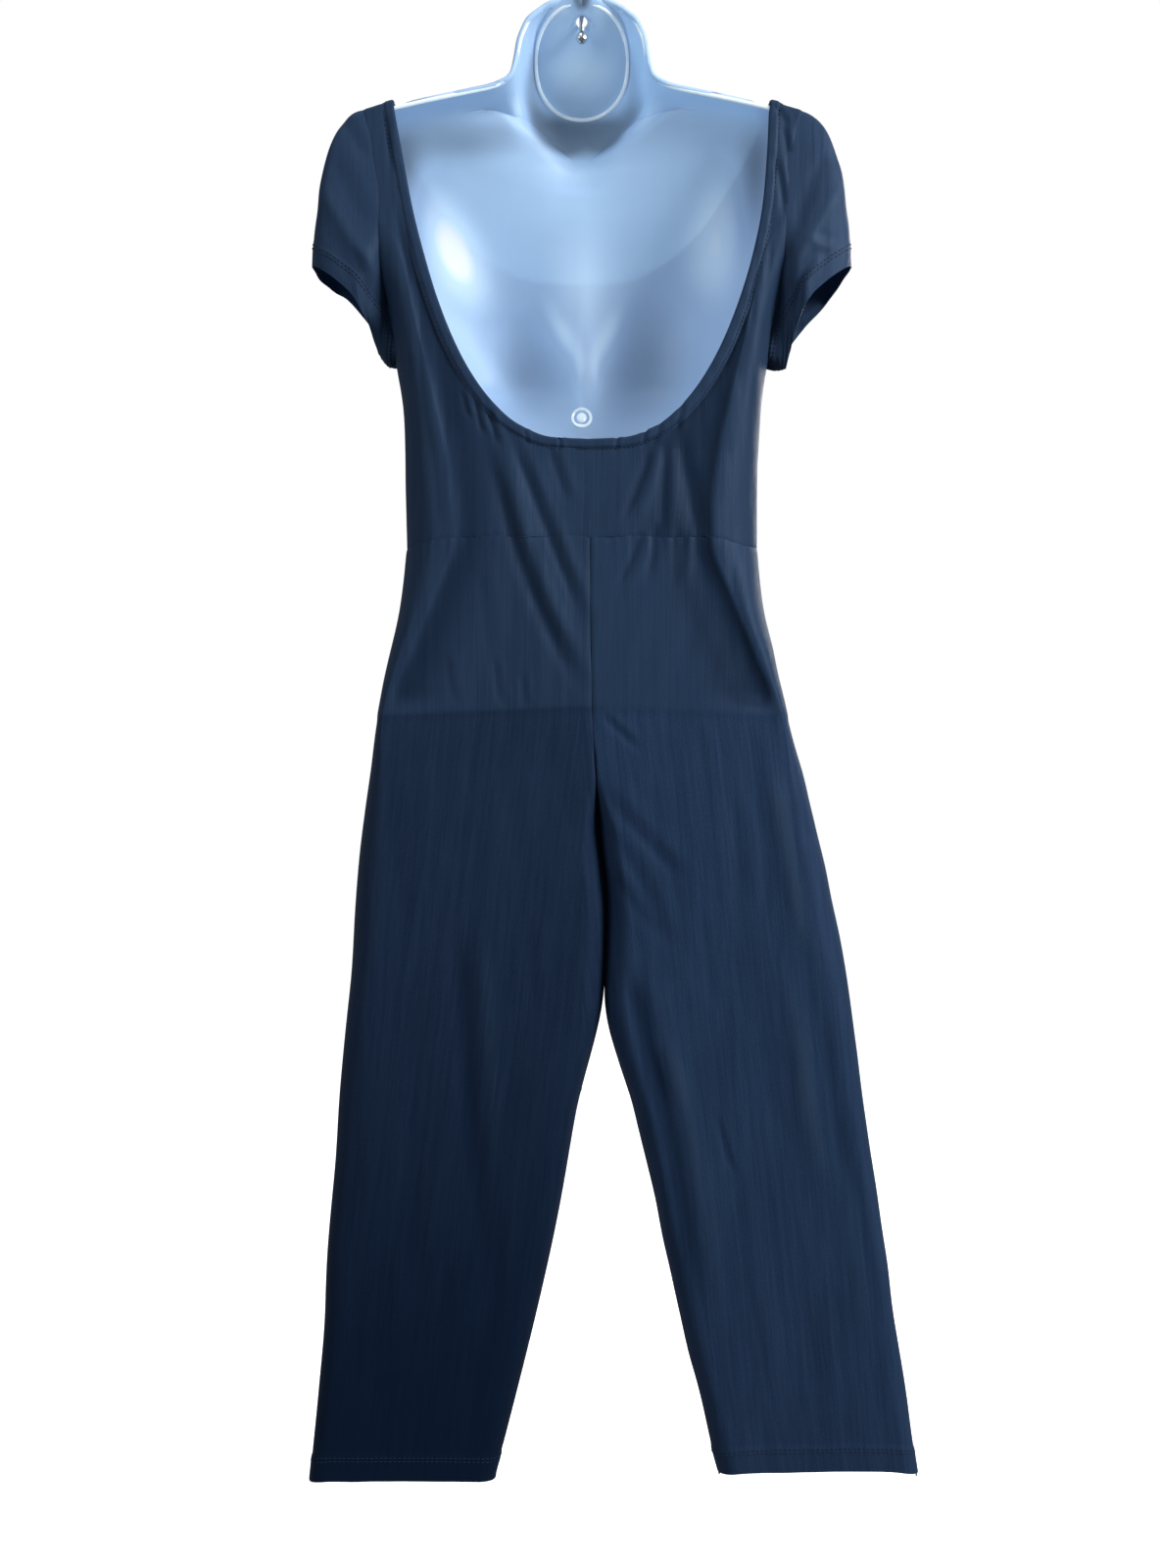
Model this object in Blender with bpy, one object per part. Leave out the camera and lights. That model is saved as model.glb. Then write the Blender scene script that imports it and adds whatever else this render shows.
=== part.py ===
"""A jumpsuit on the hollow-back torso form that it hangs on.

Everything is laid out from the middle of the waist seam at the back and then moved, so that the
origin is the inside top of the form's hanging hook. The garment's back faces +Y, its front -Y, and
its wearer's left is +X. Lengths in the tables are in millimetres.
"""
import bpy
import numpy as np

MM = 0.001
WAIST_DROP = 0.530        # waist seam below the inside top of the hook
BACK_REACH = 0.013        # back plane of the form behind the hook
WALL = 0.0020             # plastic of the form
CLOTH = 0.0013            # modelled thickness of the knit
CLEAR = 0.0012            # air between the cloth and the skin that the form's table gives
EASE = 0.0026             # the form's plastic lies this far inside that skin
FORM_CUTS = dict(chest=0.195, neck=0.388)   # heights where the form's sections meet
FORM_GAP = 0.0010         # air between two sections of the form
SEAM = 0.0004             # air between two cut pieces
BAND_WIDTH = 0.0105       # turned binding round the neck
WIRE = 0.0020             # radius of the hook's wire
HOOK_RADIUS = 0.022       # middle of the wire round the hook
BUST = dict(reach=0.070, height=0.158, swell=0.034, wide=0.042, above=0.062, below=0.036)
FRONT_ROUND = 0.85        # how square the form's front is: 1 is an ellipse, less is fuller
CAP_HOLE = dict(y=-BACK_REACH - 0.0021, radius=0.0046)
CAP_ROWS = ((0.035, 0.0), (0.5, 0.002), (1.0, 0.002))   # share of the way in, and how far down
LONG_STEP = 0.024         # rows of the form's table further apart than this get one between them
SHOULDER_BEND = 0.003     # radius of the cloth's turn over the top of the shoulder

# Sections of the form, bottom to top. A section runs from the middle of the front round the side
# to the rim of the open back. rim_z and front_z are its heights at the rim and in front, half is
# its half width, rim the half width of the open back, side how far forward the widest point lies,
# deep the depth in front, neck the extra depth of the neck's root and spread that root's width.
FORM_COLUMNS = ("rim_z", "front_z", "half", "rim", "side", "deep", "neck", "spread")
FORM_ROWS = (
    (-150, -150, 173.0, 163.0, 45, 86, 0, 46),
    (-130, -130, 169.5, 159.0, 45, 91, 0, 46),
    (-100, -100, 163.5, 146.0, 45, 95, 0, 46),
    (-50, -50, 152.7, 125.0, 42, 91, 0, 46),
    (0, 0, 147.5, 108.0, 40, 83, 0, 46),
    (60, 60, 148.0, 112.0, 40, 85, 0, 46),
    (110, 110, 150.0, 122.0, 42, 91, 0, 46),
    (150, 150, 155.5, 131.0, 43, 95, 0, 46),
    (195, 195, 163.0, 141.0, 43, 94, 0, 46),
    (225, 225, 178.0, 147.0, 40, 90, 0, 46),
    (255, 255, 198.0, 163.0, 35, 84, 0, 46),
    (283, 281, 209.5, 186.0, 30, 74, 3, 46),
    (305, 299, 211.0, 199.0, 25, 65, 9, 46),
    (322, 308, 205.0, 200.0, 22, 57, 18, 46),
    (335, 314, 193.0, 191.0, 20, 51, 25, 46),
    (345, 319, 174.0, 173.5, 18, 46, 31, 46),
    (354, 324, 138.0, 137.5, 17, 43, 35, 46),
    (362, 329, 100.0, 99.0, 17, 44, 35, 48),
    (368, 333, 74.0, 72.0, 20, 60, 20, 60),
    (376, 338, 61.0, 59.0, 25, 77, 3, 90),
    (388, 345, 57.5, 56.0, 30, 81, 0, 200),
    (402, 353, 54.5, 53.5, 36, 83, 0, 400),
    (411, 358, 51.5, 50.0, 40, 85, 0, 900),
    (419, 362, 49.0, 45.5, 42, 86, 0, 900),
    (427, 367, 46.5, 34.5, 43, 87, 0, 900),
    (434, 371, 44.5, 20.0, 44, 87, 0, 900),
    (437, 373, 43.5, 0.0, 44, 87, 0, 900),
)

# The hook's shank and crook from its foot in the cap: how far out sideways and up.
HOOK_FOOT = 0.4135
HOOK_SHANK = ((0.0, 0.0), (0.0, 0.020), (0.0, 0.038), (0.002, 0.050), (0.009, 0.060),
              (0.0165, 0.0705))
HOOK_TURN = (-25, 205)    # degrees that the open ring runs through
NUT = 0.0048              # radius of the ball nut
NUT_GAP = 0.0004          # air between the nut and the hook's foot

# Neck and armhole edges of the back, as half width and height above the waist seam.
BACK_NECK = ((0, 79), (30, 80.5), (57, 90.5), (80, 110), (103.5, 144), (122, 186), (134.5, 226),
             (144, 268), (149, 305), (154, 349.5))
FRONT_NECK = ((0, 232), (40, 236), (76, 250), (106, 273), (130, 304), (146, 330), (154, 349))
ARMHOLE = ((160, 146), (157.5, 156), (161, 183), (166, 217), (168, 260), (170.5, 300),
           (174, 322), (180, 341.8))
NECK_DRIFT = -5.5         # the scoop hangs this far to the wearer's right
DRIFT_FADE = (0.21, 0.34) # heights between which that drift dies away
SIDE_TRIM = 0.012         # turn at which the front stops short of the side seam
ARMHOLE_TRIM = 0.004      # the same where the sleeve is set in

# Sections of the trousers, waist seam to hem: heights, how far each side reaches, where the legs
# meet or end inside, how much of a section rounds away at its outer and inner edges, and the
# depths of the back, the side seam and the front.
LEG_COLUMNS = ("z", "left", "right", "left_in", "right_in", "round_out", "round_front",
               "round_in", "back", "side", "front", "seat", "fork")
LEG_ROWS = (
    (0, 150.0, -150.0, -7, -7, 40, 150, 0, 2.5, -40, -85.5, 2.5, -85.5),
    (-50, 155.7, -155.7, -7, -7, 26, 155, 0, 2.5, -42, -93.5, 2.5, -93.5),
    (-100, 166.3, -166.3, -8, -8, 16, 166, 0, 2.5, -45, -97.5, 2.5, -97.5),
    (-130, 172.3, -172.3, -8.5, -8.5, 11, 172, 0, 2.5, -45, -93.5, 2.5, -93.5),
    (-150, 176.0, -177.0, -9, -9, 10, 174, 0, 2.3, -45, -89.5, 2.3, -89.5),
    (-200, 183.5, -192.0, -12, -12, 17, 130, 3, 0.5, -45, -86, -3, -84),
    (-250, 190.5, -204.3, -15.5, -15.5, 22, 90, 16, -3, -45, -82, -44, -46),
    (-320, 198.0, -221.0, -22, -22, 24, 60, 20, -8, -45, -78, -45, -45),
    (-390, 203.5, -233.5, -19, -20, 24, 46, 20, -12, -45, -75, -45, -45),
    (-500, 214.5, -250.3, 5, -47.6, 22, 36, 19, -17, -45, -71, -45, -45),
    (-610, 224.3, -267.0, 26, -72.4, 20, 28, 18, -21, -45, -68, -45, -45),
    (-720, 231.7, -284.4, 51, -97, 18, 23, 17, -25, -45, -65, -45, -45),
    (-822, 244.0, -300.5, 77, -124, 16, 18, 15, -28, -45, -61, -45, -45),
)

# Heights of the trousers' rows of points, and how much closer the points lie near the seams.
LEG_HEIGHTS = (-0.5, -30, -60, -90, -115, -135, -150, -170, -190, -205, -218, -230, -242, -255,
               -285, -320, -360, -400, -460, -520, -600, -680, -760, -822)
LEG_CROWD = 0.12

# The sleeve round its opening: how far round from the shoulder seam by way of the back, the point
# that pulls the sleeve outward on its way, and the point of the hem.
SLEEVE_COLUMNS = ("turn", "pull_x", "pull_y", "pull_z", "hem_x", "hem_y", "hem_z")
SLEEVE_ROWS = (
    (0.000, 219, -20, 342, 226, -32, 227),
    (0.045, 220, 6, 341, 224, -16, 225),
    (0.100, 219, 9, 315, 215, -4, 219),
    (0.170, 204, 8, 280, 203, 0, 210),
    (0.280, 182, 7, 230, 188, 0, 196),
    (0.400, 171, -8, 188, 179, -12, 176),
    (0.510, 167, -44, 145, 174, -43, 148),
    (0.620, 171, -78, 188, 181, -70, 170),
    (0.740, 183, -88, 232, 195, -76, 190),
    (0.850, 205, -82, 280, 211, -74, 207),
    (0.930, 219, -58, 322, 221, -58, 220),
    (1.000, 219, -20, 342, 226, -32, 227),
)


def through(at, stations, values):
    """Smooth curve through the given values: cubic pieces whose slopes are limited at turns."""
    stations, values = np.asarray(stations, float), np.asarray(values, float)
    if stations[0] > stations[-1]:
        stations, values = stations[::-1], values[::-1]
    step = np.diff(stations)
    rise = np.diff(values) / step
    slope = np.empty_like(values)
    slope[0], slope[-1] = rise[0], rise[-1]
    product = rise[:-1] * rise[1:]
    weight = (step[:-1] + step[1:]) * 3.0
    before, after = (np.where(product > 0, part, 1.0) for part in (rise[:-1], rise[1:]))
    mean = weight / ((2 * step[1:] + step[:-1]) / before + (step[1:] + 2 * step[:-1]) / after)
    slope[1:-1] = np.where(product > 0, mean, 0.0)
    at = np.clip(np.asarray(at, float), stations[0], stations[-1])
    piece = np.clip(np.searchsorted(stations, at) - 1, 0, len(step) - 1)
    width = step[piece]
    t = (at - stations[piece]) / width
    start, end = values[piece], values[piece + 1]
    return (start * (1 + 2 * t) * (1 - t) ** 2 + end * t * t * (3 - 2 * t)
            + width * (slope[piece] * t * (1 - t) ** 2 - slope[piece + 1] * t * t * (1 - t)))


def column(rows, columns, name, at, unit=MM):
    """One column of a table of sections, read smoothly at the given stations."""
    table = np.array(rows, float)
    return through(at, table[:, 0] * unit, table[:, columns.index(name)] * MM)


def form_column(name, height):
    return column(FORM_ROWS, FORM_COLUMNS, name, height)


def leg_column(name, height):
    return column(LEG_ROWS, LEG_COLUMNS, name, height)


def sleeve_column(name, turn):
    return column(SLEEVE_ROWS, SLEEVE_COLUMNS, name, turn, unit=1.0)


def curve_points(points, count):
    """Evenly spread points on the smooth curve through a short list of plane points."""
    points = np.array(points, float) * MM
    run = np.append(0, np.cumsum(np.hypot(*np.diff(points, axis=0).T)))
    fine = np.linspace(0, run[-1], 400)
    line = np.stack([through(fine, run, points[:, k]) for k in (0, 1)], axis=1)
    length = np.append(0, np.cumsum(np.hypot(*np.diff(line, axis=0).T)))
    even = np.linspace(0, length[-1], count)
    return np.stack([np.interp(even, length, line[:, k]) for k in (0, 1)], axis=1)


def form_front(turn, height):
    """The form's front skin: turn is 0 in the middle of the front and a quarter circle at the side."""
    half = form_column("half", height)
    side = form_column("side", height)
    deep = form_column("deep", height)
    x = half * np.sin(turn)
    y = -(side + (deep - side) * np.abs(np.cos(turn)) ** FRONT_ROUND)
    y = y - form_column("neck", height) * np.exp(-(x / form_column("spread", height)) ** 2)
    above = np.where(height > BUST["height"], BUST["above"], BUST["below"])
    rise = np.exp(-0.5 * ((height - BUST["height"]) / above) ** 2)
    across = np.exp(-0.5 * ((np.abs(x) - BUST["reach"]) / BUST["wide"]) ** 2)
    return x, y - BUST["swell"] * rise * across * np.abs(np.cos(turn)) ** 0.5


def quads(rows, columns, first=0):
    """Faces of a grid of points."""
    index = first + np.arange(rows * columns).reshape(rows, columns)
    corners = (index[:-1, :-1], index[:-1, 1:], index[1:, 1:], index[1:, :-1])
    return np.stack([corner.ravel() for corner in corners], axis=1)


def weld(grids):
    """Joins grids of points into one skin, with shared points where they meet.

    Returns the points, the faces and which of the grids' points were kept.
    """
    points = np.concatenate([grid.reshape(-1, 3) for grid in grids])
    faces, first = [], 0
    for grid in grids:
        faces.append(quads(grid.shape[0], grid.shape[1], first))
        first += grid.shape[0] * grid.shape[1]
    keys, unique, where = np.unique(np.round(points / 2e-6).astype(int), axis=0,
                                    return_index=True, return_inverse=True)
    where = where.ravel()
    kept = []
    for face in where[np.concatenate(faces)]:
        ring = [int(v) for k, v in enumerate(face) if v != face[k - 1]]
        if len(set(ring)) == len(ring) and len(ring) > 2:
            kept.append(ring)
    return points[unique], kept, unique


def grid_normals(grid):
    """Outward direction at each point of the form's grid, from the points beside, above and below."""
    normals = np.cross(np.gradient(grid, axis=1), np.gradient(grid, axis=0))
    return normals / np.maximum(np.linalg.norm(normals, axis=-1, keepdims=True), 1e-12)


def skin_normals(points, faces):
    """Mean direction of the faces round each point."""
    normals = np.zeros_like(points)
    for ring in faces:
        corner = points[ring]
        turned = np.roll(corner, -1, axis=0)
        normal = np.cross(corner - corner.mean(0), turned - corner.mean(0)).sum(0)
        normals[ring] += normal / max(np.linalg.norm(normal), 1e-12)
    return normals / np.maximum(np.linalg.norm(normals, axis=1, keepdims=True), 1e-12)


def thick(name, grids, thickness, material, lift=0.0, directions=None):
    """A closed solid on the skin: its outer face is the skin, its inner face lies inside."""
    points, faces, kept = weld(grids)
    normals = skin_normals(points, faces)
    if directions is not None:
        normals = directions.reshape(-1, 3)[kept]
    count = len(points)
    solid = np.concatenate([points + normals * lift, points + normals * (lift - thickness)])
    edges = {}
    for ring in faces:
        for k, start in enumerate(ring):
            edges[(start, ring[(k + 1) % len(ring)])] = True
    border = [edge for edge in edges if (edge[1], edge[0]) not in edges]
    rings = [list(ring) for ring in faces]
    rings += [[v + count for v in reversed(ring)] for ring in faces]
    rings += [[b, a, a + count, b + count] for a, b in border]
    return add_mesh(name, solid, rings, material)


def add_mesh(name, points, faces, material):
    """A named object whose origin is the frame's, with its points moved from waist to hook."""
    placed = points + np.array((0.0, BACK_REACH, -WAIST_DROP))
    mesh = bpy.data.meshes.new(name)
    mesh.from_pydata(placed.tolist(), [], faces)
    mesh.validate()
    piece = bpy.data.objects.new(name, mesh)
    bpy.context.collection.objects.link(piece)
    mesh.materials.append(material)
    mesh.shade_smooth()
    mesh.set_sharp_from_angle(angle=0.9)
    return piece


def finish(name, colour, roughness, metallic=0.0):
    """A plain Principled finish."""
    material = bpy.data.materials.new(name)
    material.use_nodes = True
    shader = material.node_tree.nodes["Principled BSDF"]
    shader.inputs["Base Color"].default_value = (*colour, 1.0)
    shader.inputs["Roughness"].default_value = roughness
    shader.inputs["Metallic"].default_value = metallic
    return material


def form_grid():
    """The form's outer skin: rows of half sections, mirrored, and the slanted cap of the neck."""
    front = np.linspace(0, np.pi / 2, 15)
    back = np.linspace(0, np.pi / 2, 6)[1:]
    heights = []
    table = np.array(FORM_ROWS, float)[:, 0] * MM
    for low, high in zip(table[:-1], table[1:]):
        pieces = 2 if high - low > LONG_STEP else 1
        heights += list(np.linspace(low, high, pieces, endpoint=False))
    heights.append(table[-1])
    grid = []
    for height in heights:
        x, y = form_front(front, np.full_like(front, height))
        half, rim = form_column("half", height), form_column("rim", height)
        side = form_column("side", height)
        x = np.append(x, rim + (half - rim) * np.cos(back))
        y = np.append(y, -side * (1 - np.sin(back)))
        fall = height - form_column("front_z", height)
        reach = form_column("spread", height)
        z = height - fall * np.exp(-(x / reach) ** 2) * (y / y[0])
        row = np.stack([x, y, z], axis=1)
        grid.append(np.concatenate([(row * (-1, 1, 1))[::-1], row[1:]]))
    ring = grid[-1]
    lean = (ring[len(ring) // 2, 2] - ring[0, 2]) / (ring[len(ring) // 2, 1] - ring[0, 1])
    around = np.linspace(np.pi / 2, np.pi / 2 - 2 * np.pi, len(ring))
    hole = np.stack([CAP_HOLE["radius"] * np.cos(around) * -1,
                     CAP_HOLE["y"] + CAP_HOLE["radius"] * np.sin(around),
                     np.zeros_like(around)], axis=1)
    hole[:, 2] = ring[0, 2] + lean * (hole[:, 1] - ring[0, 1])
    for share, drop in CAP_ROWS:
        grid.append(ring + (hole - ring) * share - (0, 0, drop))
    return np.array(grid)


def make_form(plastic):
    """Thin moulded shell, open behind and below, with a hole for the hook in its neck cap.

    It is made in four sections that meet edge to edge: the body, both shoulders and the neck.
    """
    grid = form_grid()
    directions = grid_normals(grid)
    heights, middle = grid[:, 0, 2], grid.shape[1] // 2
    below_cap = heights[:-len(CAP_ROWS)]
    chest, neck = (int(np.argmin(np.abs(below_cap - FORM_CUTS[name]))) for name in FORM_CUTS)
    sections = {"form_body": np.s_[:chest + 1, :],
                "form_shoulder_left": np.s_[chest:neck + 1, middle:],
                "form_shoulder_right": np.s_[chest:neck + 1, :middle + 1],
                "form_neck": np.s_[neck:, :]}
    for name, part in sections.items():
        section = grid[part].copy()
        if name != "form_body":
            up = section[1] - section[0]
            section[0] += up / np.linalg.norm(up, axis=1, keepdims=True) * FORM_GAP
        if name == "form_shoulder_left":
            section[:, 0, 0] += FORM_GAP / 2
        if name == "form_shoulder_right":
            section[:, -1, 0] -= FORM_GAP / 2
        known = None if name == "form_neck" else directions[part]
        thick(name, [section], WALL, plastic, lift=-EASE, directions=known)


def back_skin(across, height):
    """Cloth on the back: straight from rim to rim, then round each side to the side seam."""
    half = form_column("half", height) + CLEAR + CLOTH
    rim = form_column("rim", height)
    side = form_column("side", height)
    plane = CLEAR + CLOTH
    arc = np.pi / 2 * np.sqrt(((half - rim) ** 2 + (side + plane) ** 2) / 2)
    turn = np.clip((np.abs(across) - rim) / arc, 0, 1) * np.pi / 2
    x = np.where(turn > 0, rim + (half - rim) * np.sin(turn), np.abs(across))
    y = plane - (side + plane) * (1 - np.cos(turn))
    return np.stack([np.sign(across) * x, y, height], axis=-1)


def back_across(x, height):
    """Distance across the cloth from the middle of the back to a point seen at x."""
    half = form_column("half", height) + CLEAR + CLOTH
    rim = form_column("rim", height)
    side = form_column("side", height) + CLEAR + CLOTH
    arc = np.pi / 2 * np.sqrt(((half - rim) ** 2 + side ** 2) / 2)
    turn = np.arcsin(np.clip((x - rim) / np.maximum(half - rim, 1e-4), 0, 1))
    return np.where(x > rim, rim + turn / (np.pi / 2) * arc, x)


def front_skin(turn, height):
    """Cloth on the front: the form's skin moved out along its own direction."""
    def skin(t, h):
        x, y = form_front(t, h)
        return np.stack([x, y, h], axis=-1)
    small = 2e-3
    along = skin(turn + small, height) - skin(turn - small, height)
    up = skin(turn, height + small) - skin(turn, height - small)
    normal = np.cross(along, up)
    normal /= np.linalg.norm(normal, axis=-1, keepdims=True)
    return skin(turn, height) + normal * (CLEAR + CLOTH)


def bodice_edges(neck, middle_rows, rows):
    """The inner and outer edges of half a bodice, as half width and height at the same rows."""
    low = neck[0][1] * MM
    middle = np.stack([np.zeros(middle_rows), np.linspace(0, low, middle_rows)], axis=1)
    inner = np.concatenate([middle[:-1], curve_points(neck, rows)])
    armpit = ARMHOLE[0][1] * MM
    side_rows = middle_rows + rows // 3
    side = np.stack([np.full(side_rows, 1.0), np.linspace(0, armpit, side_rows)], axis=1)
    outer = np.concatenate([side[:-1], curve_points(ARMHOLE, len(inner) - side_rows + 1)])
    return inner, outer


def over_shoulder(row, steps=3):
    """Rows that carry the top of a back strap forward over the form to the shoulder seam."""
    rows = []
    for angle in np.linspace(0, np.pi / 2, steps + 1)[1:]:
        rise = np.array((0.0, np.cos(angle) - 1, np.sin(angle))) * SHOULDER_BEND
        rows.append(row + rise)
    flat = rows[-1].copy()
    flat[:, 1] = -form_column("side", row[:, 2]) + SEAM
    return rows + [flat]


def drift(height):
    """The scoop hangs a little to one side, less and less towards the shoulders."""
    low, high = DRIFT_FADE
    return NECK_DRIFT * MM * (1 - np.clip((height - low) / (high - low), 0, 1) ** 2)


def back_half(sign, columns=9, middle_rows=5, rows=17):
    """Half of the back bodice, from the middle and the neck edge out to the side and armhole."""
    inner, outer = bodice_edges(BACK_NECK, middle_rows, rows)
    share = np.linspace(0, 1, columns)
    grid = []
    for (x_in, z_in), (x_out, z_out) in zip(inner, outer):
        start = sign * back_across(x_in, z_in) + drift(z_in)
        end = sign * (back_across(min(x_out, 0.5), z_out) - SEAM / 2)
        grid.append(back_skin(start + (end - start) * share, z_in + (z_out - z_in) * share))
    grid += over_shoulder(grid[-1])
    return np.array(grid)


def front_half(sign, columns=12, middle_rows=11, rows=13):
    """Half of the front bodice."""
    inner, outer = bodice_edges(FRONT_NECK, middle_rows, rows)
    share = np.linspace(0, 1, columns)
    grid = []
    for (x_in, z_in), (x_out, z_out) in zip(inner, outer):
        ends = [min(np.arcsin(np.clip(x / form_column("half", z), 0, 1)), np.pi / 2 - SIDE_TRIM)
                for x, z in ((x_in, z_in), (x_out, z_out))]
        turn = ends[0] + (ends[1] - ends[0]) * share
        row = front_skin(turn, z_in + (z_out - z_in) * share)
        grid.append(row * (sign, 1, 1))
    return np.array(grid)


def outward(grid, centre):
    """The grid, turned if need be so that its skin faces away from the given point."""
    row, col = grid.shape[0] // 2, grid.shape[1] // 2
    normal = np.cross(grid[row, col + 1] - grid[row, col], grid[row + 1, col] - grid[row, col])
    return grid if normal @ (grid[row, col] - np.array(centre)) > 0 else grid[:, ::-1]


def make_bodice(knit):
    """Back and front bodice, each one piece from side seam to side seam."""
    middle = (0, -0.040, 0.10)
    for name, half in (("back_bodice", back_half), ("front_bodice", front_half)):
        thick(name, [outward(half(sign), middle) for sign in (1, -1)], CLOTH, knit)


def make_band(knit):
    """The binding: a closed strip that lies on both bodice pieces along the neck edge."""
    edge, inside = [], []
    for sign in (1, -1):
        back = back_half(sign)[4:, :2]
        front = front_half(sign)[10:, :2]
        if sign > 0:
            path = np.concatenate([back, front[::-1]])
        else:
            path = np.concatenate([front[1:], back[:0:-1]])
        edge.append(path[:, 0])
        inside.append(path[:, 1])
    edge, inside = np.concatenate(edge), np.concatenate(inside)
    along = np.roll(edge, -1, axis=0) - np.roll(edge, 1, axis=0)
    along /= np.linalg.norm(along, axis=1, keepdims=True)
    inward = inside - edge
    inward -= (inward * along).sum(1, keepdims=True) * along
    inward /= np.linalg.norm(inward, axis=1, keepdims=True)
    normal = np.cross(along, inward)
    normal *= np.sign((normal * (edge - (0, -0.040, 0.18))).sum(1, keepdims=True))
    strip = [edge + inward * reach + normal * (2.5 * SEAM + CLOTH)
             for reach in np.linspace(-0.0008, BAND_WIDTH - 0.0008, 3)]
    grid = np.array(strip).transpose(1, 0, 2)
    grid = np.concatenate([grid, grid[:1]])
    thick("neck_binding", [outward(grid, (0, -0.040, 0.18))], CLOTH - 0.0001, knit)


def armhole_loop(count):
    """Points round the armhole: from the shoulder seam down the back and up the front."""
    line = curve_points(ARMHOLE, 40)[::-1]
    back = back_skin(back_across(line[:, 0], line[:, 1]), line[:, 1])
    top = over_shoulder(back[:1])
    turn = np.arcsin(np.clip(line[:, 0] / form_column("half", line[:, 1]), 0, 1))
    front = front_skin(np.minimum(turn, np.pi / 2 - ARMHOLE_TRIM), line[:, 1])[::-1]
    loop = np.concatenate([[row[0] for row in top[::-1]], back, front, top[-1]])
    length = np.append(0, np.cumsum(np.linalg.norm(np.diff(loop, axis=0), axis=1)))
    even = np.linspace(0, length[-1], count)
    return np.stack([np.interp(even, length, loop[:, k]) for k in range(3)], axis=1)


def make_sleeve(name, sign, knit, around=27, rows=7):
    """A cap sleeve: from the armhole, out over the end of the form's shoulder, to its hem."""
    turn = np.linspace(0, 1, around)
    start = armhole_loop(around)
    pull = np.stack([sleeve_column("pull_" + axis, turn) for axis in "xyz"], axis=1)
    hem = np.stack([sleeve_column("hem_" + axis, turn) for axis in "xyz"], axis=1)
    out = pull - start
    start = start + out / np.linalg.norm(out, axis=1, keepdims=True) * 2 * SEAM
    grid = []
    for t in np.linspace(0, 1, rows):
        row = start * (1 - t) ** 2 + pull * 2 * t * (1 - t) + hem * t * t
        row[-1] = row[0]
        grid.append(row * (sign, 1, 1))
    thick(name, [outward(np.array(grid), (sign * 0.19, -0.038, 0.25))], CLOTH, knit)


def even_row(x, y, count, trim):
    """Points on a section, closer at its ends, which stay short of the seam by its gap."""
    length = np.append(0, np.cumsum(np.hypot(np.diff(x), np.diff(y))))
    share = np.linspace(0, 1, count)
    share -= LEG_CROWD * np.sin(2 * np.pi * share)
    even = trim + (length[-1] - 2 * trim) * share
    return np.interp(even, length, x), np.interp(even, length, y)


def leg_row(side, face, height, count=13):
    """One section of a trouser panel, from its side seam to the seat seam or inseam."""
    sign = 1 if side == "left" else -1
    out = leg_column(side, height)
    inner = leg_column(side + "_in", height) + sign * SEAM / 2
    plane = leg_column(face, height)
    seam = leg_column("side", height)
    end = leg_column("seat" if face == "back" else "fork", height)
    round_out = leg_column("round_out" if face == "back" else "round_front", height)
    round_in = max(leg_column("round_in", height), 1e-5)
    power = 0.5 if face == "back" else 0.425
    x = out + (inner - out) * (1 - np.cos(np.pi * np.linspace(0, 1, 240))) / 2
    at_out = 1 - (1 - np.clip(np.abs(x - out) / round_out, 0, 1)) ** 2
    at_in = 1 - (1 - np.clip(np.abs(x - inner) / round_in, 0, 1)) ** 2
    y = plane - (plane - seam) * (1 - at_out ** power) - (plane - end) * (1 - at_in ** 0.5)
    x, y = even_row(x, y, count, SEAM)
    return np.stack([x, y, np.full(count, height)], axis=1)


def make_legs(knit):
    """Four trouser panels, each from the waist seam to its ankle hem."""
    for face in ("back", "front"):
        for side in ("left", "right"):
            grid = np.array([leg_row(side, face, height * MM) for height in LEG_HEIGHTS])
            middle = (grid[12, 6, 0], -0.045, grid[12, 6, 2])
            thick(f"{face}_leg_{side}", [outward(grid, middle)], CLOTH, knit)


def make_hook(steel):
    """The wire hook that stands in the neck cap, and the cap nut that holds it below."""
    top = np.array((0.0, -BACK_REACH, WAIST_DROP))
    centre = top - (0, 0, HOOK_RADIUS - WIRE)
    path = [(x, -BACK_REACH, HOOK_FOOT + up) for x, up in HOOK_SHANK]
    for angle in np.linspace(*HOOK_TURN, 15):
        turn = np.radians(angle)
        path.append(tuple(centre + HOOK_RADIUS * np.array((np.cos(turn), 0, np.sin(turn)))))
    curve = bpy.data.curves.new("hanging_hook", "CURVE")
    curve.dimensions = "3D"
    curve.bevel_depth = WIRE
    curve.bevel_resolution = 3
    curve.use_fill_caps = True
    spline = curve.splines.new("POLY")
    spline.points.add(len(path) - 1)
    for point, place in zip(spline.points, path):
        point.co = (place[0], place[1] + BACK_REACH, place[2] - WAIST_DROP, 1)
    hook = bpy.data.objects.new("hanging_hook", curve)
    bpy.context.collection.objects.link(hook)
    curve.materials.append(steel)
    turn = np.linspace(0, 2 * np.pi, 17)
    rise = np.linspace(0, np.pi, 9)
    middle = np.array((0, -BACK_REACH, HOOK_FOOT - NUT_GAP - NUT))
    ball = middle + NUT * np.array([[(np.sin(r) * np.cos(t), np.sin(r) * np.sin(t), np.cos(r))
                                     for t in turn] for r in rise])
    points, faces, _ = weld([outward(ball, middle)])
    add_mesh("hook_nut", points, faces, steel)


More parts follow.
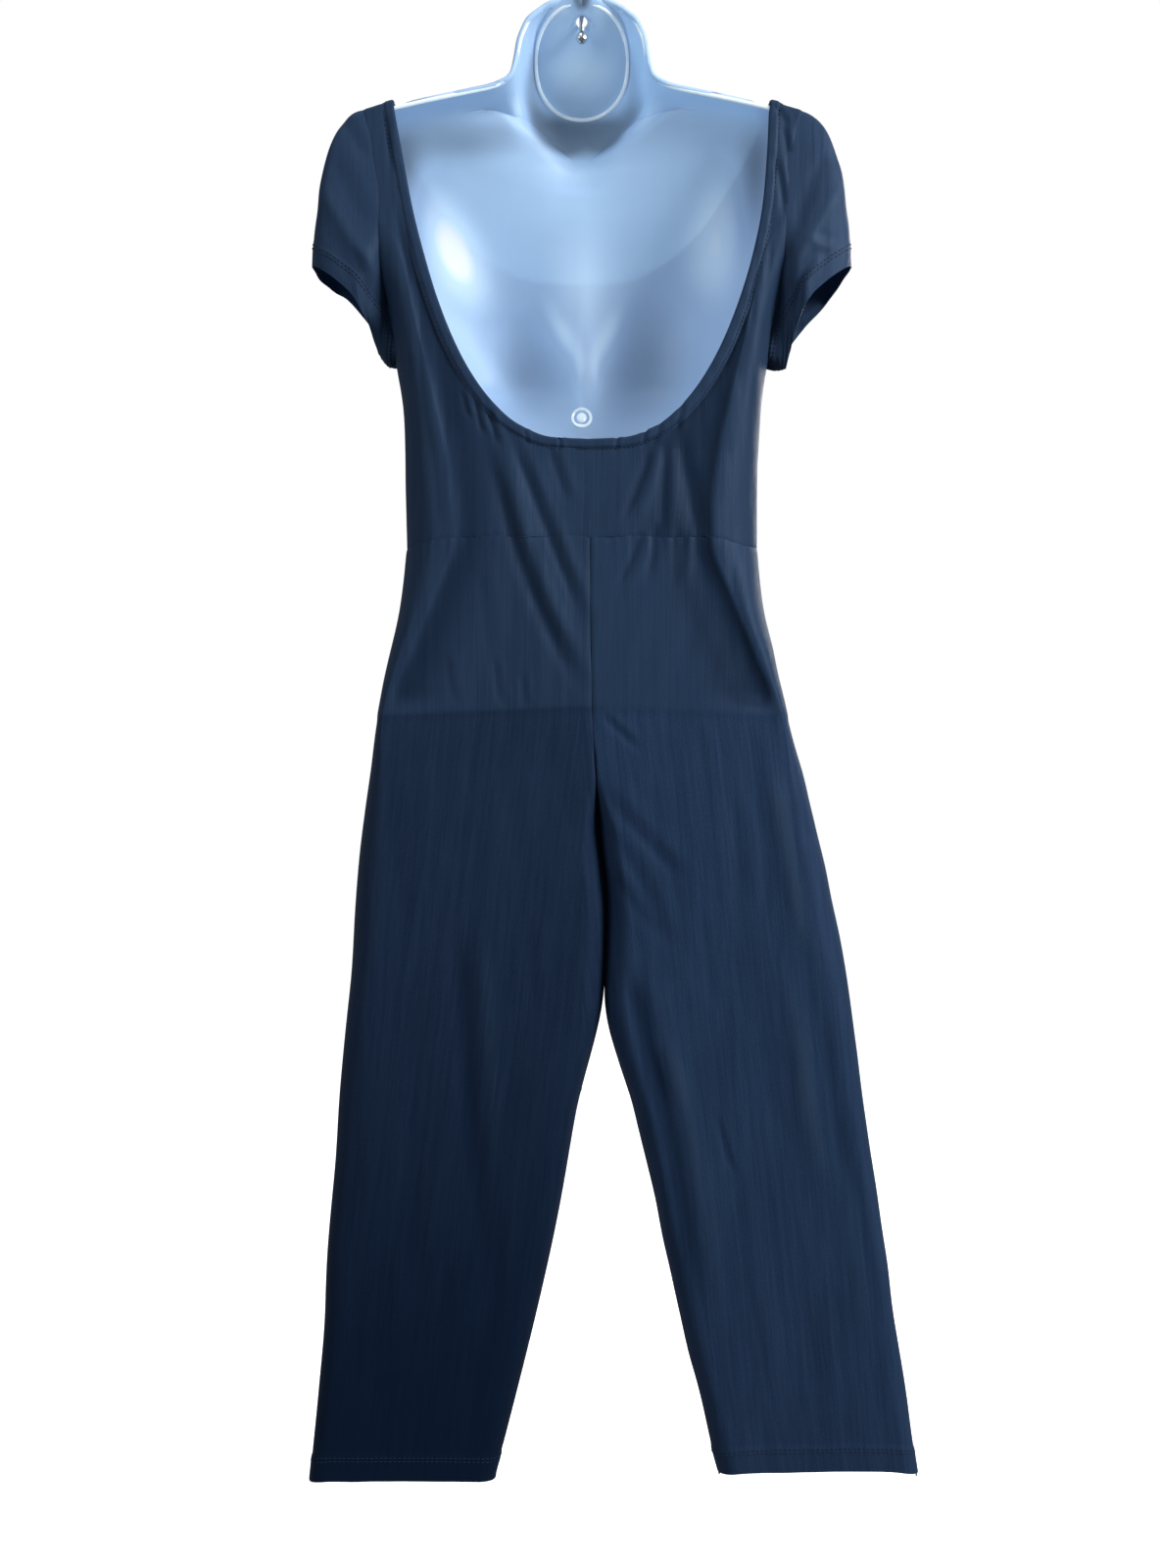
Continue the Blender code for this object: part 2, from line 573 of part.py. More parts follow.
def main():
    for item in list(bpy.data.objects):
        bpy.data.objects.remove(item, do_unlink=True)
    plastic = finish("pale_blue_plastic", (0.42, 0.60, 0.86), 0.18)
    knit = finish("navy_knit", (0.012, 0.026, 0.062), 0.55)
    steel = finish("bright_steel", (0.62, 0.62, 0.62), 0.25, 1.0)
    make_form(plastic)
    make_bodice(knit)
    make_band(knit)
    make_sleeve("sleeve_left", 1, knit)
    make_sleeve("sleeve_right", -1, knit)
    make_legs(knit)
    make_hook(steel)


main()
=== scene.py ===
import bpy
import bmesh
import numpy as np
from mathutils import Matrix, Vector


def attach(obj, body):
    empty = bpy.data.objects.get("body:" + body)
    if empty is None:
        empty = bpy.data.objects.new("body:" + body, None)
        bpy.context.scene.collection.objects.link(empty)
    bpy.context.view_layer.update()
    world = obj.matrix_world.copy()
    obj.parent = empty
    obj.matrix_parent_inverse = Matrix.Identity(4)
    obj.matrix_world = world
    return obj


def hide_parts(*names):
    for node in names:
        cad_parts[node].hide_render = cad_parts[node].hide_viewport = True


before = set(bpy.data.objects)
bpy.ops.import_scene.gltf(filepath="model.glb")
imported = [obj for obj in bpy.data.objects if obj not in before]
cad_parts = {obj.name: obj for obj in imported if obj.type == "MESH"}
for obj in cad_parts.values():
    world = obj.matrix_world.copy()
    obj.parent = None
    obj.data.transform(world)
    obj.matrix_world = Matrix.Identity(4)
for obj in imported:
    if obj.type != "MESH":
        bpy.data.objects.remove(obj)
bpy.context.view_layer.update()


# ---------------------------------------------------------------------------------------------
# The torso form: one thin moulding of pale blue, slightly cloudy plastic, open behind and below.
# Its rim is rolled and its neck is closed by a slanted oval plate; pools of light and shade and a
# glow are painted into its colour.
# Every shape is laid out from the middle of the back waist seam: x to the wearer's left, y to the
# back, z up.
# ---------------------------------------------------------------------------------------------
MM = 0.001
WAIST_DROP = 0.530       # the waist seam is this far below the inside top of the hook
BACK_REACH = 0.013       # the form's back plane is this far behind the hook
PLASTIC = 0.0020         # the moulding's wall
EASE = 0.0026            # the moulding lies this far inside the skin that the table gives
FORM = dict(
    columns=("rim_z", "front_z", "half", "rim", "side", "deep", "neck", "spread"),
    rows=(
        (-150, -150, 173.0, 163.0, 45, 86, 0, 46),
        (-130, -130, 169.5, 159.0, 45, 91, 0, 46),
        (-100, -100, 163.5, 146.0, 45, 95, 0, 46),
        (-50, -50, 152.7, 125.0, 42, 91, 0, 46),
        (0, 0, 147.5, 108.0, 40, 83, 0, 46),
        (60, 60, 148.0, 112.0, 40, 85, 0, 46),
        (110, 110, 150.0, 122.0, 42, 91, 0, 46),
        (150, 150, 155.5, 131.0, 43, 95, 0, 46),
        (195, 195, 163.0, 141.0, 43, 94, 0, 46),
        (225, 225, 178.0, 147.0, 40, 90, 0, 46),
        (255, 255, 198.0, 163.0, 35, 84, 0, 46),
        (283, 281, 209.5, 186.0, 30, 74, 3, 46),
        (305, 299, 211.0, 199.0, 25, 65, 9, 46),
        (322, 308, 205.0, 200.0, 22, 57, 18, 46),
        (335, 314, 193.0, 191.0, 20, 51, 25, 46),
        (345, 319, 174.0, 173.5, 18, 46, 31, 46),
        (354, 324, 138.0, 137.5, 17, 43, 35, 46),
        (362, 329, 100.0, 99.0, 17, 44, 35, 48),
        (368, 333, 74.0, 72.0, 20, 60, 20, 60),
        (376, 338, 61.0, 59.0, 25, 77, 3, 90),
        (388, 345, 57.5, 56.0, 30, 81, 0, 200),
        (402, 353, 54.5, 53.5, 36, 83, 0, 400),
        (411, 358, 51.5, 50.0, 40, 85, 0, 900),
        (419, 362, 49.0, 45.5, 42, 86, 0, 900),
        (427, 367, 46.5, 34.5, 43, 87, 0, 900),
        (434, 371, 44.5, 20.0, 44, 87, 0, 900),
        (437, 373, 43.5, 0.0, 44, 87, 0, 900),
    ))
BUST = dict(reach=0.070, height=0.158, swell=0.034, wide=0.042, above=0.062, below=0.036)
HOOK_HOLE = dict(y=-BACK_REACH - 0.0021, radius=0.0046)
FRONT_SQUARE = 0.85      # below 1, a section's front is squarer than an ellipse


def through(at, stations, values):
    """Smooth curve through values: cubic pieces whose slope at each station is the weighted
    harmonic mean of the slopes beside it, and level where the values turn."""
    stations, values = np.asarray(stations, float), np.asarray(values, float)
    if stations[0] > stations[-1]:
        stations, values = stations[::-1], values[::-1]
    step = np.diff(stations)
    rise = np.diff(values) / step
    slope = np.empty_like(values)
    slope[0], slope[-1] = rise[0], rise[-1]
    same = rise[:-1] * rise[1:] > 0
    before, after = (np.where(same, part, 1.0) for part in (rise[:-1], rise[1:]))
    weight = (step[:-1] + step[1:]) * 3.0
    mean = weight / ((2 * step[1:] + step[:-1]) / before + (step[1:] + 2 * step[:-1]) / after)
    slope[1:-1] = np.where(same, mean, 0.0)
    at = np.clip(np.asarray(at, float), stations[0], stations[-1])
    piece = np.clip(np.searchsorted(stations, at) - 1, 0, len(step) - 1)
    width = step[piece]
    t = (at - stations[piece]) / width
    start, end = values[piece], values[piece + 1]
    return (start * (1 + 2 * t) * (1 - t) ** 2 + end * t * t * (3 - 2 * t)
            + width * (slope[piece] * t * (1 - t) ** 2 - slope[piece + 1] * t * t * (1 - t)))


def read(table, name, at, unit=MM):
    """A named column of a table of sections, read smoothly at the given stations."""
    rows = np.array(table["rows"], float)
    return through(at, rows[:, 0] * unit, rows[:, table["columns"].index(name)] * MM)


def gauss(offset, width):
    """Bell curve: 1 at offset 0, falling to 1/e at one width."""
    return np.exp(-(offset / width) ** 2)


def smooth(value, low, high):
    """0 below low, 1 above high, and a soft S between."""
    t = np.clip((value - low) / (high - low), 0, 1)
    return t * t * (3 - 2 * t)


def form_front(turn, height):
    """Front of the form: x is the half width times sin(turn); y goes from the side depth to the
    front depth as cos(turn) to the power FRONT_SQUARE, with bells for the neck root and the
    cups."""
    side = read(FORM, "side", height)
    x = read(FORM, "half", height) * np.sin(turn)
    y = -(side + (read(FORM, "deep", height) - side) * np.abs(np.cos(turn)) ** FRONT_SQUARE)
    y = y - read(FORM, "neck", height) * gauss(x, read(FORM, "spread", height))
    share = smooth(height - BUST["height"], -0.030, 0.030)
    above = BUST["below"] + (BUST["above"] - BUST["below"]) * share
    rise = np.exp(-0.5 * ((height - BUST["height"]) / above) ** 2)
    across = np.exp(-0.5 * ((np.abs(x) - BUST["reach"]) / BUST["wide"]) ** 2)
    return x, y - BUST["swell"] * rise * across * np.abs(np.cos(turn)) ** 0.5


def form_skin(around=64, behind=14, up=190):
    """The form as a grid, rim to rim: the front by turn, then a quarter ellipse back to the rim.
    A section at height h slants down to the front by fall * bell(x) * share of the depth."""
    front = np.linspace(0, np.pi / 2, around)
    back = np.linspace(0, np.pi / 2, behind)[1:]
    stations = np.array(FORM["rows"], float)[:, 0] * MM
    height = np.interp(np.linspace(0, len(stations) - 1, up), np.arange(len(stations)), stations)
    height = 0.5 * height + 0.5 * np.linspace(stations[0], stations[-1], up)
    height = height[:, None]
    x, y = form_front(front[None, :] + 0 * height, height + 0 * front)
    half, rim = read(FORM, "half", height), read(FORM, "rim", height)
    side = read(FORM, "side", height)
    x = np.concatenate([x, rim + (half - rim) * np.cos(back)], axis=1)
    y = np.concatenate([y, -side * (1 - np.sin(back))], axis=1)
    fall = height - read(FORM, "front_z", height)
    z = height - fall * gauss(x, read(FORM, "spread", height)) * (y / y[:, :1])
    grid = np.stack([x, y, z], axis=-1)
    return np.concatenate([(grid * (-1, 1, 1))[:, ::-1], grid[:, 1:]], axis=1)


def plate_slope(ring):
    """How steeply the neck plate rises towards the back: from the ring's front to its rim."""
    middle = len(ring) // 2
    return (ring[middle, 2] - ring[0, 2]) / (ring[middle, 1] - ring[0, 1])


def cap_skin(ring, rows=14):
    """The neck plate: rows of points that shrink from the neck's last ring to the hook's hole."""
    around = np.linspace(np.pi / 2, -1.5 * np.pi, len(ring))
    hole = np.stack([-HOOK_HOLE["radius"] * np.cos(around),
                     HOOK_HOLE["y"] + HOOK_HOLE["radius"] * np.sin(around),
                     np.zeros_like(around)], axis=1)
    hole[:, 2] = ring[0, 2] + plate_slope(ring) * (hole[:, 1] - ring[0, 1])
    share = np.linspace(0, 1, rows)[1:, None, None] ** 1.2
    dish = 0.002 * smooth(share, 0.0, 0.3)
    return ring + (hole - ring) * share - np.array((0, 0, 1)) * dish


def directions(grid):
    """Unit normals of a grid: the cross product of its steps across and its steps up."""
    normals = np.cross(np.gradient(grid, axis=1), np.gradient(grid, axis=0))
    return normals / np.maximum(np.linalg.norm(normals, axis=-1, keepdims=True), 1e-12)


def run_length(grid, axis):
    """Distance along the grid's lines from its first row or column."""
    steps = np.linalg.norm(np.diff(grid, axis=axis), axis=-1)
    start = np.zeros_like(np.take(steps, [0], axis=axis))
    return np.concatenate([start, np.cumsum(steps, axis=axis)], axis=axis)


def sample(at, run, line):
    """The values of a line at the given distances, where run is the distance of its points."""
    return np.stack([np.interp(at, run, column) for column in line.T], axis=1)


def evenly(line, count):
    """The same line with its points evenly spread."""
    run = run_length(line[None], 1)[0]
    return sample(np.linspace(0, run[-1], count), run, line)


def raw_mesh(name, points, faces):
    """A mesh of points laid out from the waist seam, moved to the hook's frame."""
    mesh = bpy.data.meshes.new(name)
    mesh.from_pydata((points + (0, BACK_REACH, -WAIST_DROP)).tolist(), [], faces)
    return mesh


def mended(name, mesh, mend):
    """A smooth object of the mesh, after mend has worked on its points and faces."""
    work = bmesh.new()
    work.from_mesh(mesh)
    mend(work)
    work.to_mesh(mesh)
    work.free()
    mesh.shade_smooth()
    piece = bpy.data.objects.new(name, mesh)
    bpy.context.scene.collection.objects.link(piece)
    return piece


def weld(work):
    """Joins points that meet and drops the faces that this leaves without area."""
    bmesh.ops.remove_doubles(work, verts=work.verts, dist=1e-5)
    bmesh.ops.dissolve_degenerate(work, edges=work.edges, dist=1e-7)


def surface(name, grids, wall=0.0, folds=None):
    """An object whose mesh is the given grids of points, joined where they meet. Its UV map is
    the distance across and up each grid in metres, and its attribute fold how far its creases
    stand out, in millimetres."""
    points, faces, cut, first = [], [], [], 0
    for grid in grids:
        index = first + np.arange(grid.shape[0] * grid.shape[1]).reshape(grid.shape[:2])
        corners = (index[:-1, :-1], index[:-1, 1:], index[1:, 1:], index[1:, :-1])
        faces.append(np.stack([corner.ravel() for corner in corners], axis=1))
        points.append(grid.reshape(-1, 3))
        cut.append(np.stack([run_length(grid, 1), run_length(grid, 0)], axis=-1).reshape(-1, 2))
        first += index.size
    faces, cut = np.concatenate(faces), np.concatenate(cut)
    mesh = raw_mesh(name, np.concatenate(points), faces.tolist())
    layer = mesh.uv_layers.new(name="cut")
    layer.data.foreach_set("uv", cut[faces.ravel()].astype(np.float32).ravel())
    if folds is not None:
        depth = np.concatenate([fold.ravel() for fold in folds]) / MM
        mesh.attributes.new("fold", "FLOAT", "POINT").data.foreach_set("value", depth)
    piece = mended(name, mesh, weld)
    if wall:
        shell = piece.modifiers.new("wall", "SOLIDIFY")
        shell.thickness = wall
        shell.offset = -1
        shell.use_even_offset = False
    return piece


def tube(name, path, radius, sides=12, closed=False):
    """A round bar along a path: circles of points square to the path's own direction."""
    path = np.asarray(path, float)
    if closed:
        along = np.roll(path, -1, axis=0) - np.roll(path, 1, axis=0)
    else:
        along = np.gradient(path, axis=0)
    along /= np.linalg.norm(along, axis=1, keepdims=True)
    guide = np.array((0.0, 1.0, 0.0)) if abs(along[:, 1]).mean() < 0.7 else np.array((1.0, 0, 0))
    side = np.cross(along, guide)
    side /= np.linalg.norm(side, axis=1, keepdims=True)
    other = np.cross(along, side)
    turn = np.linspace(0, 2 * np.pi, sides + 1)[:, None, None]
    grid = path + radius * (np.cos(turn) * side + np.sin(turn) * other)
    if closed:
        grid = np.concatenate([grid, grid[:, :1]], axis=1)
    else:
        tips = np.repeat(path[None, [0, -1]], sides + 1, axis=0)
        grid = np.concatenate([tips[:, :1], grid, tips[:, 1:]], axis=1)
    return surface(name, [grid])


EULER = 2.718


class Wire:
    """A shader value. Sums and products written on wires add the Math nodes that work them out."""

    def __init__(self, tree, socket=None):
        self.tree = tree
        self.socket = socket

    def node(self, kind, settings=(), sockets=(), out=0):
        """Adds a node: its settings first, then the values or wires of its sockets."""
        made = self.tree.nodes.new(kind)
        for key, value in dict(settings).items():
            setattr(made, key, value)
        for key, value in dict(sockets).items():
            if isinstance(value, Wire):
                self.tree.links.new(value.socket, made.inputs[key])
            else:
                made.inputs[key].default_value = value
        return Wire(self.tree, made.outputs[out])

    def math(self, operation, first, second=0.0):
        return self.node("ShaderNodeMath", {"operation": operation}, {0: first, 1: second})

    def __add__(self, other):
        return self.math("ADD", self, other)

    def __sub__(self, other):
        return self.math("SUBTRACT", self, other)

    def __rsub__(self, other):
        return self.math("SUBTRACT", other, self)

    def __mul__(self, other):
        return self.math("MULTIPLY", self, other)

    def __truediv__(self, other):
        return self.math("DIVIDE", self, other)

    __radd__ = __add__
    __rmul__ = __mul__

    def step(self, low, high):
        """0 below low, 1 above high, soft between."""
        return self.node("ShaderNodeMapRange", {"interpolation_type": "SMOOTHSTEP"},
                         {"Value": self, "From Min": low, "From Max": high})

    def tint(self, first, second):
        """The colour that lies this far from the first to the second."""
        return self.node("ShaderNodeMix", {"data_type": "RGBA"},
                         {"Factor": self, 6: first, 7: second}, out=2)

    def bell(self):
        """Bell curve of a squared distance: 1 at 0, falling to 1/e at 1."""
        return self.math("POWER", EULER, self * -1.0)

    def bump(self, strength, distance):
        """The normal of a skin that this height raises."""
        return self.node("ShaderNodeBump", sockets={
            "Strength": strength, "Distance": distance, "Height": self})

    def place(self):
        """The point on the object as one wire, and its x, y and z."""
        point = self.node("ShaderNodeTexCoord", out="Object")
        parts = [self.node("ShaderNodeSeparateXYZ", sockets={0: point}, out=k) for k in range(3)]
        return point, parts

    def noise(self, point, scale, detail=3.0, rough=0.55, stretch=(1, 1, 1)):
        """Cloudy noise from 0 to 1, scale in spots per metre, stretched by axis."""
        bent = self.node("ShaderNodeVectorMath", {"operation": "MULTIPLY"},
                         {0: point, 1: stretch})
        return self.node("ShaderNodeTexNoise", sockets={
            "Vector": bent, "Scale": scale, "Detail": detail, "Roughness": rough})


def finish(name, **constants):
    """A material with one Principled shader whose fixed sockets are set here; gives both."""
    material = bpy.data.materials.new(name)
    material.use_nodes = True
    shader = material.node_tree.nodes["Principled BSDF"]
    for key, value in constants.items():
        shader.inputs[key.replace("_", " ")].default_value = value
    return material, shader, Wire(material.node_tree)


def feed(shader, wires):
    """Links wires to a shader's sockets by name."""
    for key, wire in wires.items():
        wire.tree.links.new(wire.socket, shader.inputs[key])


def dress(piece, material, slot, *nodes):
    """Gives a finished piece its material and its body, and hides the CAD nodes it stands for. Its
    slot is not used.
    """
    piece.data.materials.clear()
    piece.data.materials.append(material)
    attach(piece, "root")
    if nodes:
        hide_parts(*nodes)
    return piece


# Soft pools of light and shade in the moulding: x, z, half width, half height, how far it leans
# to x plus as it rises, and how much lighter or darker, in millimetres from the waist seam.
POOLS = (
    (112, 256, 26, 43, 0.4, 1.25), (-119, 264, 28, 46, -0.1, 0.97), (56, 364, 10, 20, 0.45, 1.0),
    (-68, 366, 10, 18, -1.1, 0.95), (-46, 352, 9, 9, -0.9, 0.5), (15, 190, 9, 26, 0.55, 0.5),
    (-23, 190, 9, 26, -0.45, 0.5), (2, 158, 5, 22, 0.0, 0.36), (-12, 158, 5, 22, 0.0, 0.4),
    (0, 220, 38, 58, 0.0, 0.58), (88, 165, 12, 30, 0.55, 0.35), (46, 158, 44, 58, 0.05, -0.42),
    (-60, 164, 48, 62, -0.05, -0.44), (0, 360, 50, 17, 0.0, -1.1), (18, 344, 16, 9, 0.6, -0.55),
    (-22, 345, 16, 9, -0.6, -0.4), (150, 305, 16, 52, 0.1, -0.6), (-146, 300, 16, 62, -0.05, -0.6),
    (118, 340, 66, 24, -0.15, -0.62), (-118, 340, 66, 24, 0.15, -0.24), (0, 322, 84, 9, 0.0, 0.26),
    (0, 404, 32, 34, 0.0, 0.74), (42, 412, 9, 42, 0.0, -0.6), (-44, 412, 9, 42, 0.0, -0.6),
    (0, 432, 9, 8, 0.0, -1.4),
)


def form_finish():
    """Cloudy pale blue plastic: painted pools of light and shade, a painted glow, faint flow marks,
    a glossy skin.
    """
    # Its emission glows with its own colour: a painted glow that stands for light coming through
    # the translucent plastic.
    material, shader, wire = finish(
        "cloudy_blue_plastic_painted_light", IOR=1.45, Coat_Weight=0.07, Coat_Roughness=0.30,
        Specular_IOR_Level=0.26, Specular_Tint=(0.75, 0.88, 1.0, 1),
        Subsurface_Weight=0.3, Subsurface_Scale=0.015, Subsurface_Radius=(0.7, 0.85, 1.0),
        Emission_Strength=0.24)
    point, (x, y, z) = wire.place()
    amount = wire.noise(point, 9, 2) * 0.24 - 0.12
    for across, up, wide, tall, lean, strength in POOLS:
        above = z - (up * MM - WAIST_DROP)
        left = (x - across * MM - above * lean) / (wide * MM)
        rise = above / (tall * MM)
        amount = amount + (left * left + rise * rise).bell() * strength
    inside = wire.math("MAXIMUM", (y - BACK_REACH).step(-0.012, -0.05),
                       (z + WAIST_DROP).step(0.421, 0.427))
    amount = amount * inside
    marks = wire.noise(point, 60, 4, 0.6, (1, 1, 0.15))
    base = (marks * 0.35).tint((0.30, 0.455, 0.69, 1), (0.36, 0.52, 0.76, 1))
    # Painted light and shade from the pools: paler where light pools, near white at the painted
    # highlights, darker where shade falls in the hollows.
    base = amount.step(0.0, 1.0).tint(base, (0.54, 0.75, 1.0, 1))
    base = amount.step(0.80, 1.20).tint(base, (0.87, 0.96, 1.0, 1))
    base = (amount * -1.0).step(0.0, 0.8).tint(base, (0.115, 0.165, 0.235, 1))
    feed(shader, {"Base Color": base, "Emission Color": base,
                  "Normal": wire.noise(point, 35, 2).bump(0.2, 0.002),
                  "Roughness": marks * 0.10 + 0.36})
    return material


plastic = form_finish()
body_grid = form_skin()
body_lean = directions(body_grid)
cap_grid = cap_skin(body_grid[-1])
cap_lean = directions(np.concatenate([body_grid[-1:], cap_grid]))[1:]
whole = np.concatenate([body_grid - body_lean * EASE, cap_grid - cap_lean * EASE])
form = dress(surface("moulded_form", [whole], PLASTIC), plastic, "plastic",
             "form_body", "form_shoulder_left", "form_shoulder_right", "form_neck")


# ---------------------------------------------------------------------------------------------
# What is moulded on the form: the rolled bead along its open edge, the raised ring round the neck
# plate, the U-shaped socket round the hook's nut, and the round button between the cups.
# ---------------------------------------------------------------------------------------------
def bead_finish():
    """The same plastic on the beads and the button: paler, partly for the thick plastic and partly
    as a painted highlight, with fine streaks, and a painted glow from its emission.
    """
    material, shader, wire = finish("plastic_edge_painted_highlight", Roughness=0.12, IOR=1.5,
                                    Coat_Weight=0.5, Coat_Roughness=0.05,
                                    Emission_Strength=0.30)
    point, _ = wire.place()
    streaks = wire.noise(point, 140, 3)
    base = streaks.tint((0.55, 0.72, 0.86, 1), (0.88, 0.96, 0.98, 1))
    feed(shader, {"Base Color": base, "Emission Color": base,
                  "Normal": streaks.bump(0.15, 0.001)})
    return material


edge_painted_highlight = bead_finish()
RIM_BEAD = 0.0016
RING = dict(bead=0.0015, shrink=0.955, forward=0.001, below=0.0030)
inner = body_grid - body_lean * (EASE + PLASTIC * 0.5)
rim_path = evenly(np.concatenate([inner[:, 0], inner[::-1, -1][1:]]), 420)
rim_bead = dress(tube("rim_bead", rim_path, RIM_BEAD, 10), edge_painted_highlight, "plastic")

# The ring's pale, glowing finish is a painted highlight along the edge of the neck plate.
ring_path = inner[-1, :-1] * (RING["shrink"], RING["shrink"], 1)
ring_path -= (0, RING["forward"], RING["below"])
plate_highlight_ring = dress(tube("neck_plate_highlight_ring", ring_path, RING["bead"], 10, closed=True),
                   edge_painted_highlight, "plastic")

SOCKET = dict(half=0.0078, back=-0.004, front=-0.0175, below=0.0074, bead=0.0011)
turn = np.linspace(0, np.pi, 25)
bend = np.stack([SOCKET["half"] * np.cos(turn),
                 SOCKET["front"] - SOCKET["half"] * np.sin(turn)], axis=1)
u_path = evenly(np.concatenate([[(SOCKET["half"], SOCKET["back"])], bend,
                                [(-SOCKET["half"], SOCKET["back"])]]), 60)
u_height = cap_grid[-1, 0, 2] + plate_slope(body_grid[-1]) * (u_path[:, 1] - HOOK_HOLE["y"])
u_path = np.column_stack([u_path, u_height - SOCKET["below"]])
hook_socket = dress(tube("hook_socket", u_path, SOCKET["bead"], 8), edge_painted_highlight, "plastic")


def button_skin(height, radius=0.0096):
    """A turned profile laid against the inside of the front: a raised rim, a dished face and a
    small domed middle. Rings of the profile's radius, standing out of the front by its height."""
    share = np.array((1.0, 0.98, 0.93, 0.86, 0.80, 0.72, 0.60, 0.48, 0.42, 0.36, 0.28, 0.16, 0.0))
    stand = np.array((0.0, 0.8, 1.5, 1.5, 0.9, 0.5, 0.4, 0.4, 0.9, 1.3, 1.5, 1.6, 1.65)) * MM
    around = np.linspace(0, 2 * np.pi, 49)
    x = radius * share[:, None] * np.cos(around)
    z = height + radius * share[:, None] * np.sin(around)
    y = form_front(np.arcsin(x / read(FORM, "half", z)), z)[1]
    return np.stack([x, y + EASE + PLASTIC - 0.0003 + stand[:, None], z], axis=-1)


button = dress(surface("moulded_button", [button_skin(0.116)[:, ::-1]]), edge_painted_highlight, "plastic")


# ---------------------------------------------------------------------------------------------
# The hook and its nut: bright drawn wire bent to an open hook, and a polished ball nut under the
# neck plate. Both keep their made shapes and get a steel finish with fine drawing lines.
# ---------------------------------------------------------------------------------------------
def steel_finish():
    """Bright steel: fine lines along the wire in its roughness and a little dulling."""
    material, shader, wire = finish("drawn_steel", Metallic=1.0, Anisotropic=0.3)
    point, _ = wire.place()
    lines = wire.noise(point, 900, 3, 0.6, (1, 1, 0.08))
    cloud = wire.noise(point, 60, 3)
    base = cloud.tint((0.50, 0.51, 0.53, 1), (0.72, 0.73, 0.74, 1))
    feed(shader, {"Base Color": base, "Roughness": lines * 0.16 + 0.14,
                  "Normal": lines.bump(0.15, 0.0004)})
    return material


steel = steel_finish()
for name in ("hanging_hook", "hook_nut"):
    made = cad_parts[name]
    for place in made.material_slots:
        place.material = steel
    if not made.material_slots:
        made.data.materials.append(steel)


# ---------------------------------------------------------------------------------------------
# The knit: a fine, slinky navy jersey. A lighter field is painted where the form stands close
# behind it, folds get painted shade and ridges painted highlights, the left leg falls away into
# painted shade, and the right leg and the sleeves are painted lighter. Every cut piece is a thin
# shell of it.
# ---------------------------------------------------------------------------------------------
CLOTH = 0.0013           # the shell that stands for the knit
CLEAR = 0.0012           # the shell's inner face stands this far off the form
WALE, COURSE = 0.0011, 0.0009
# Painted light: above the form's foot the cloth's colour gets a lighter field, for the pale form
# that shows through it; FOOT_BLUR softens its edge.
FORM_FOOT = -0.1405      # the form's lower edge at the middle, which shows through the cloth
FOOT_ARCH = 0.045        # how steeply that edge falls towards the sides
FOOT_BLUR = 0.0022       # half the width of the step that the edge makes in the cloth's tone
DRAPE = dict(below=0.15, spread=0.113)   # wales run straight to here, then out with each leg
DIM = dict(start=-0.75, end=-1.36)       # heights between which a leg falls into shade


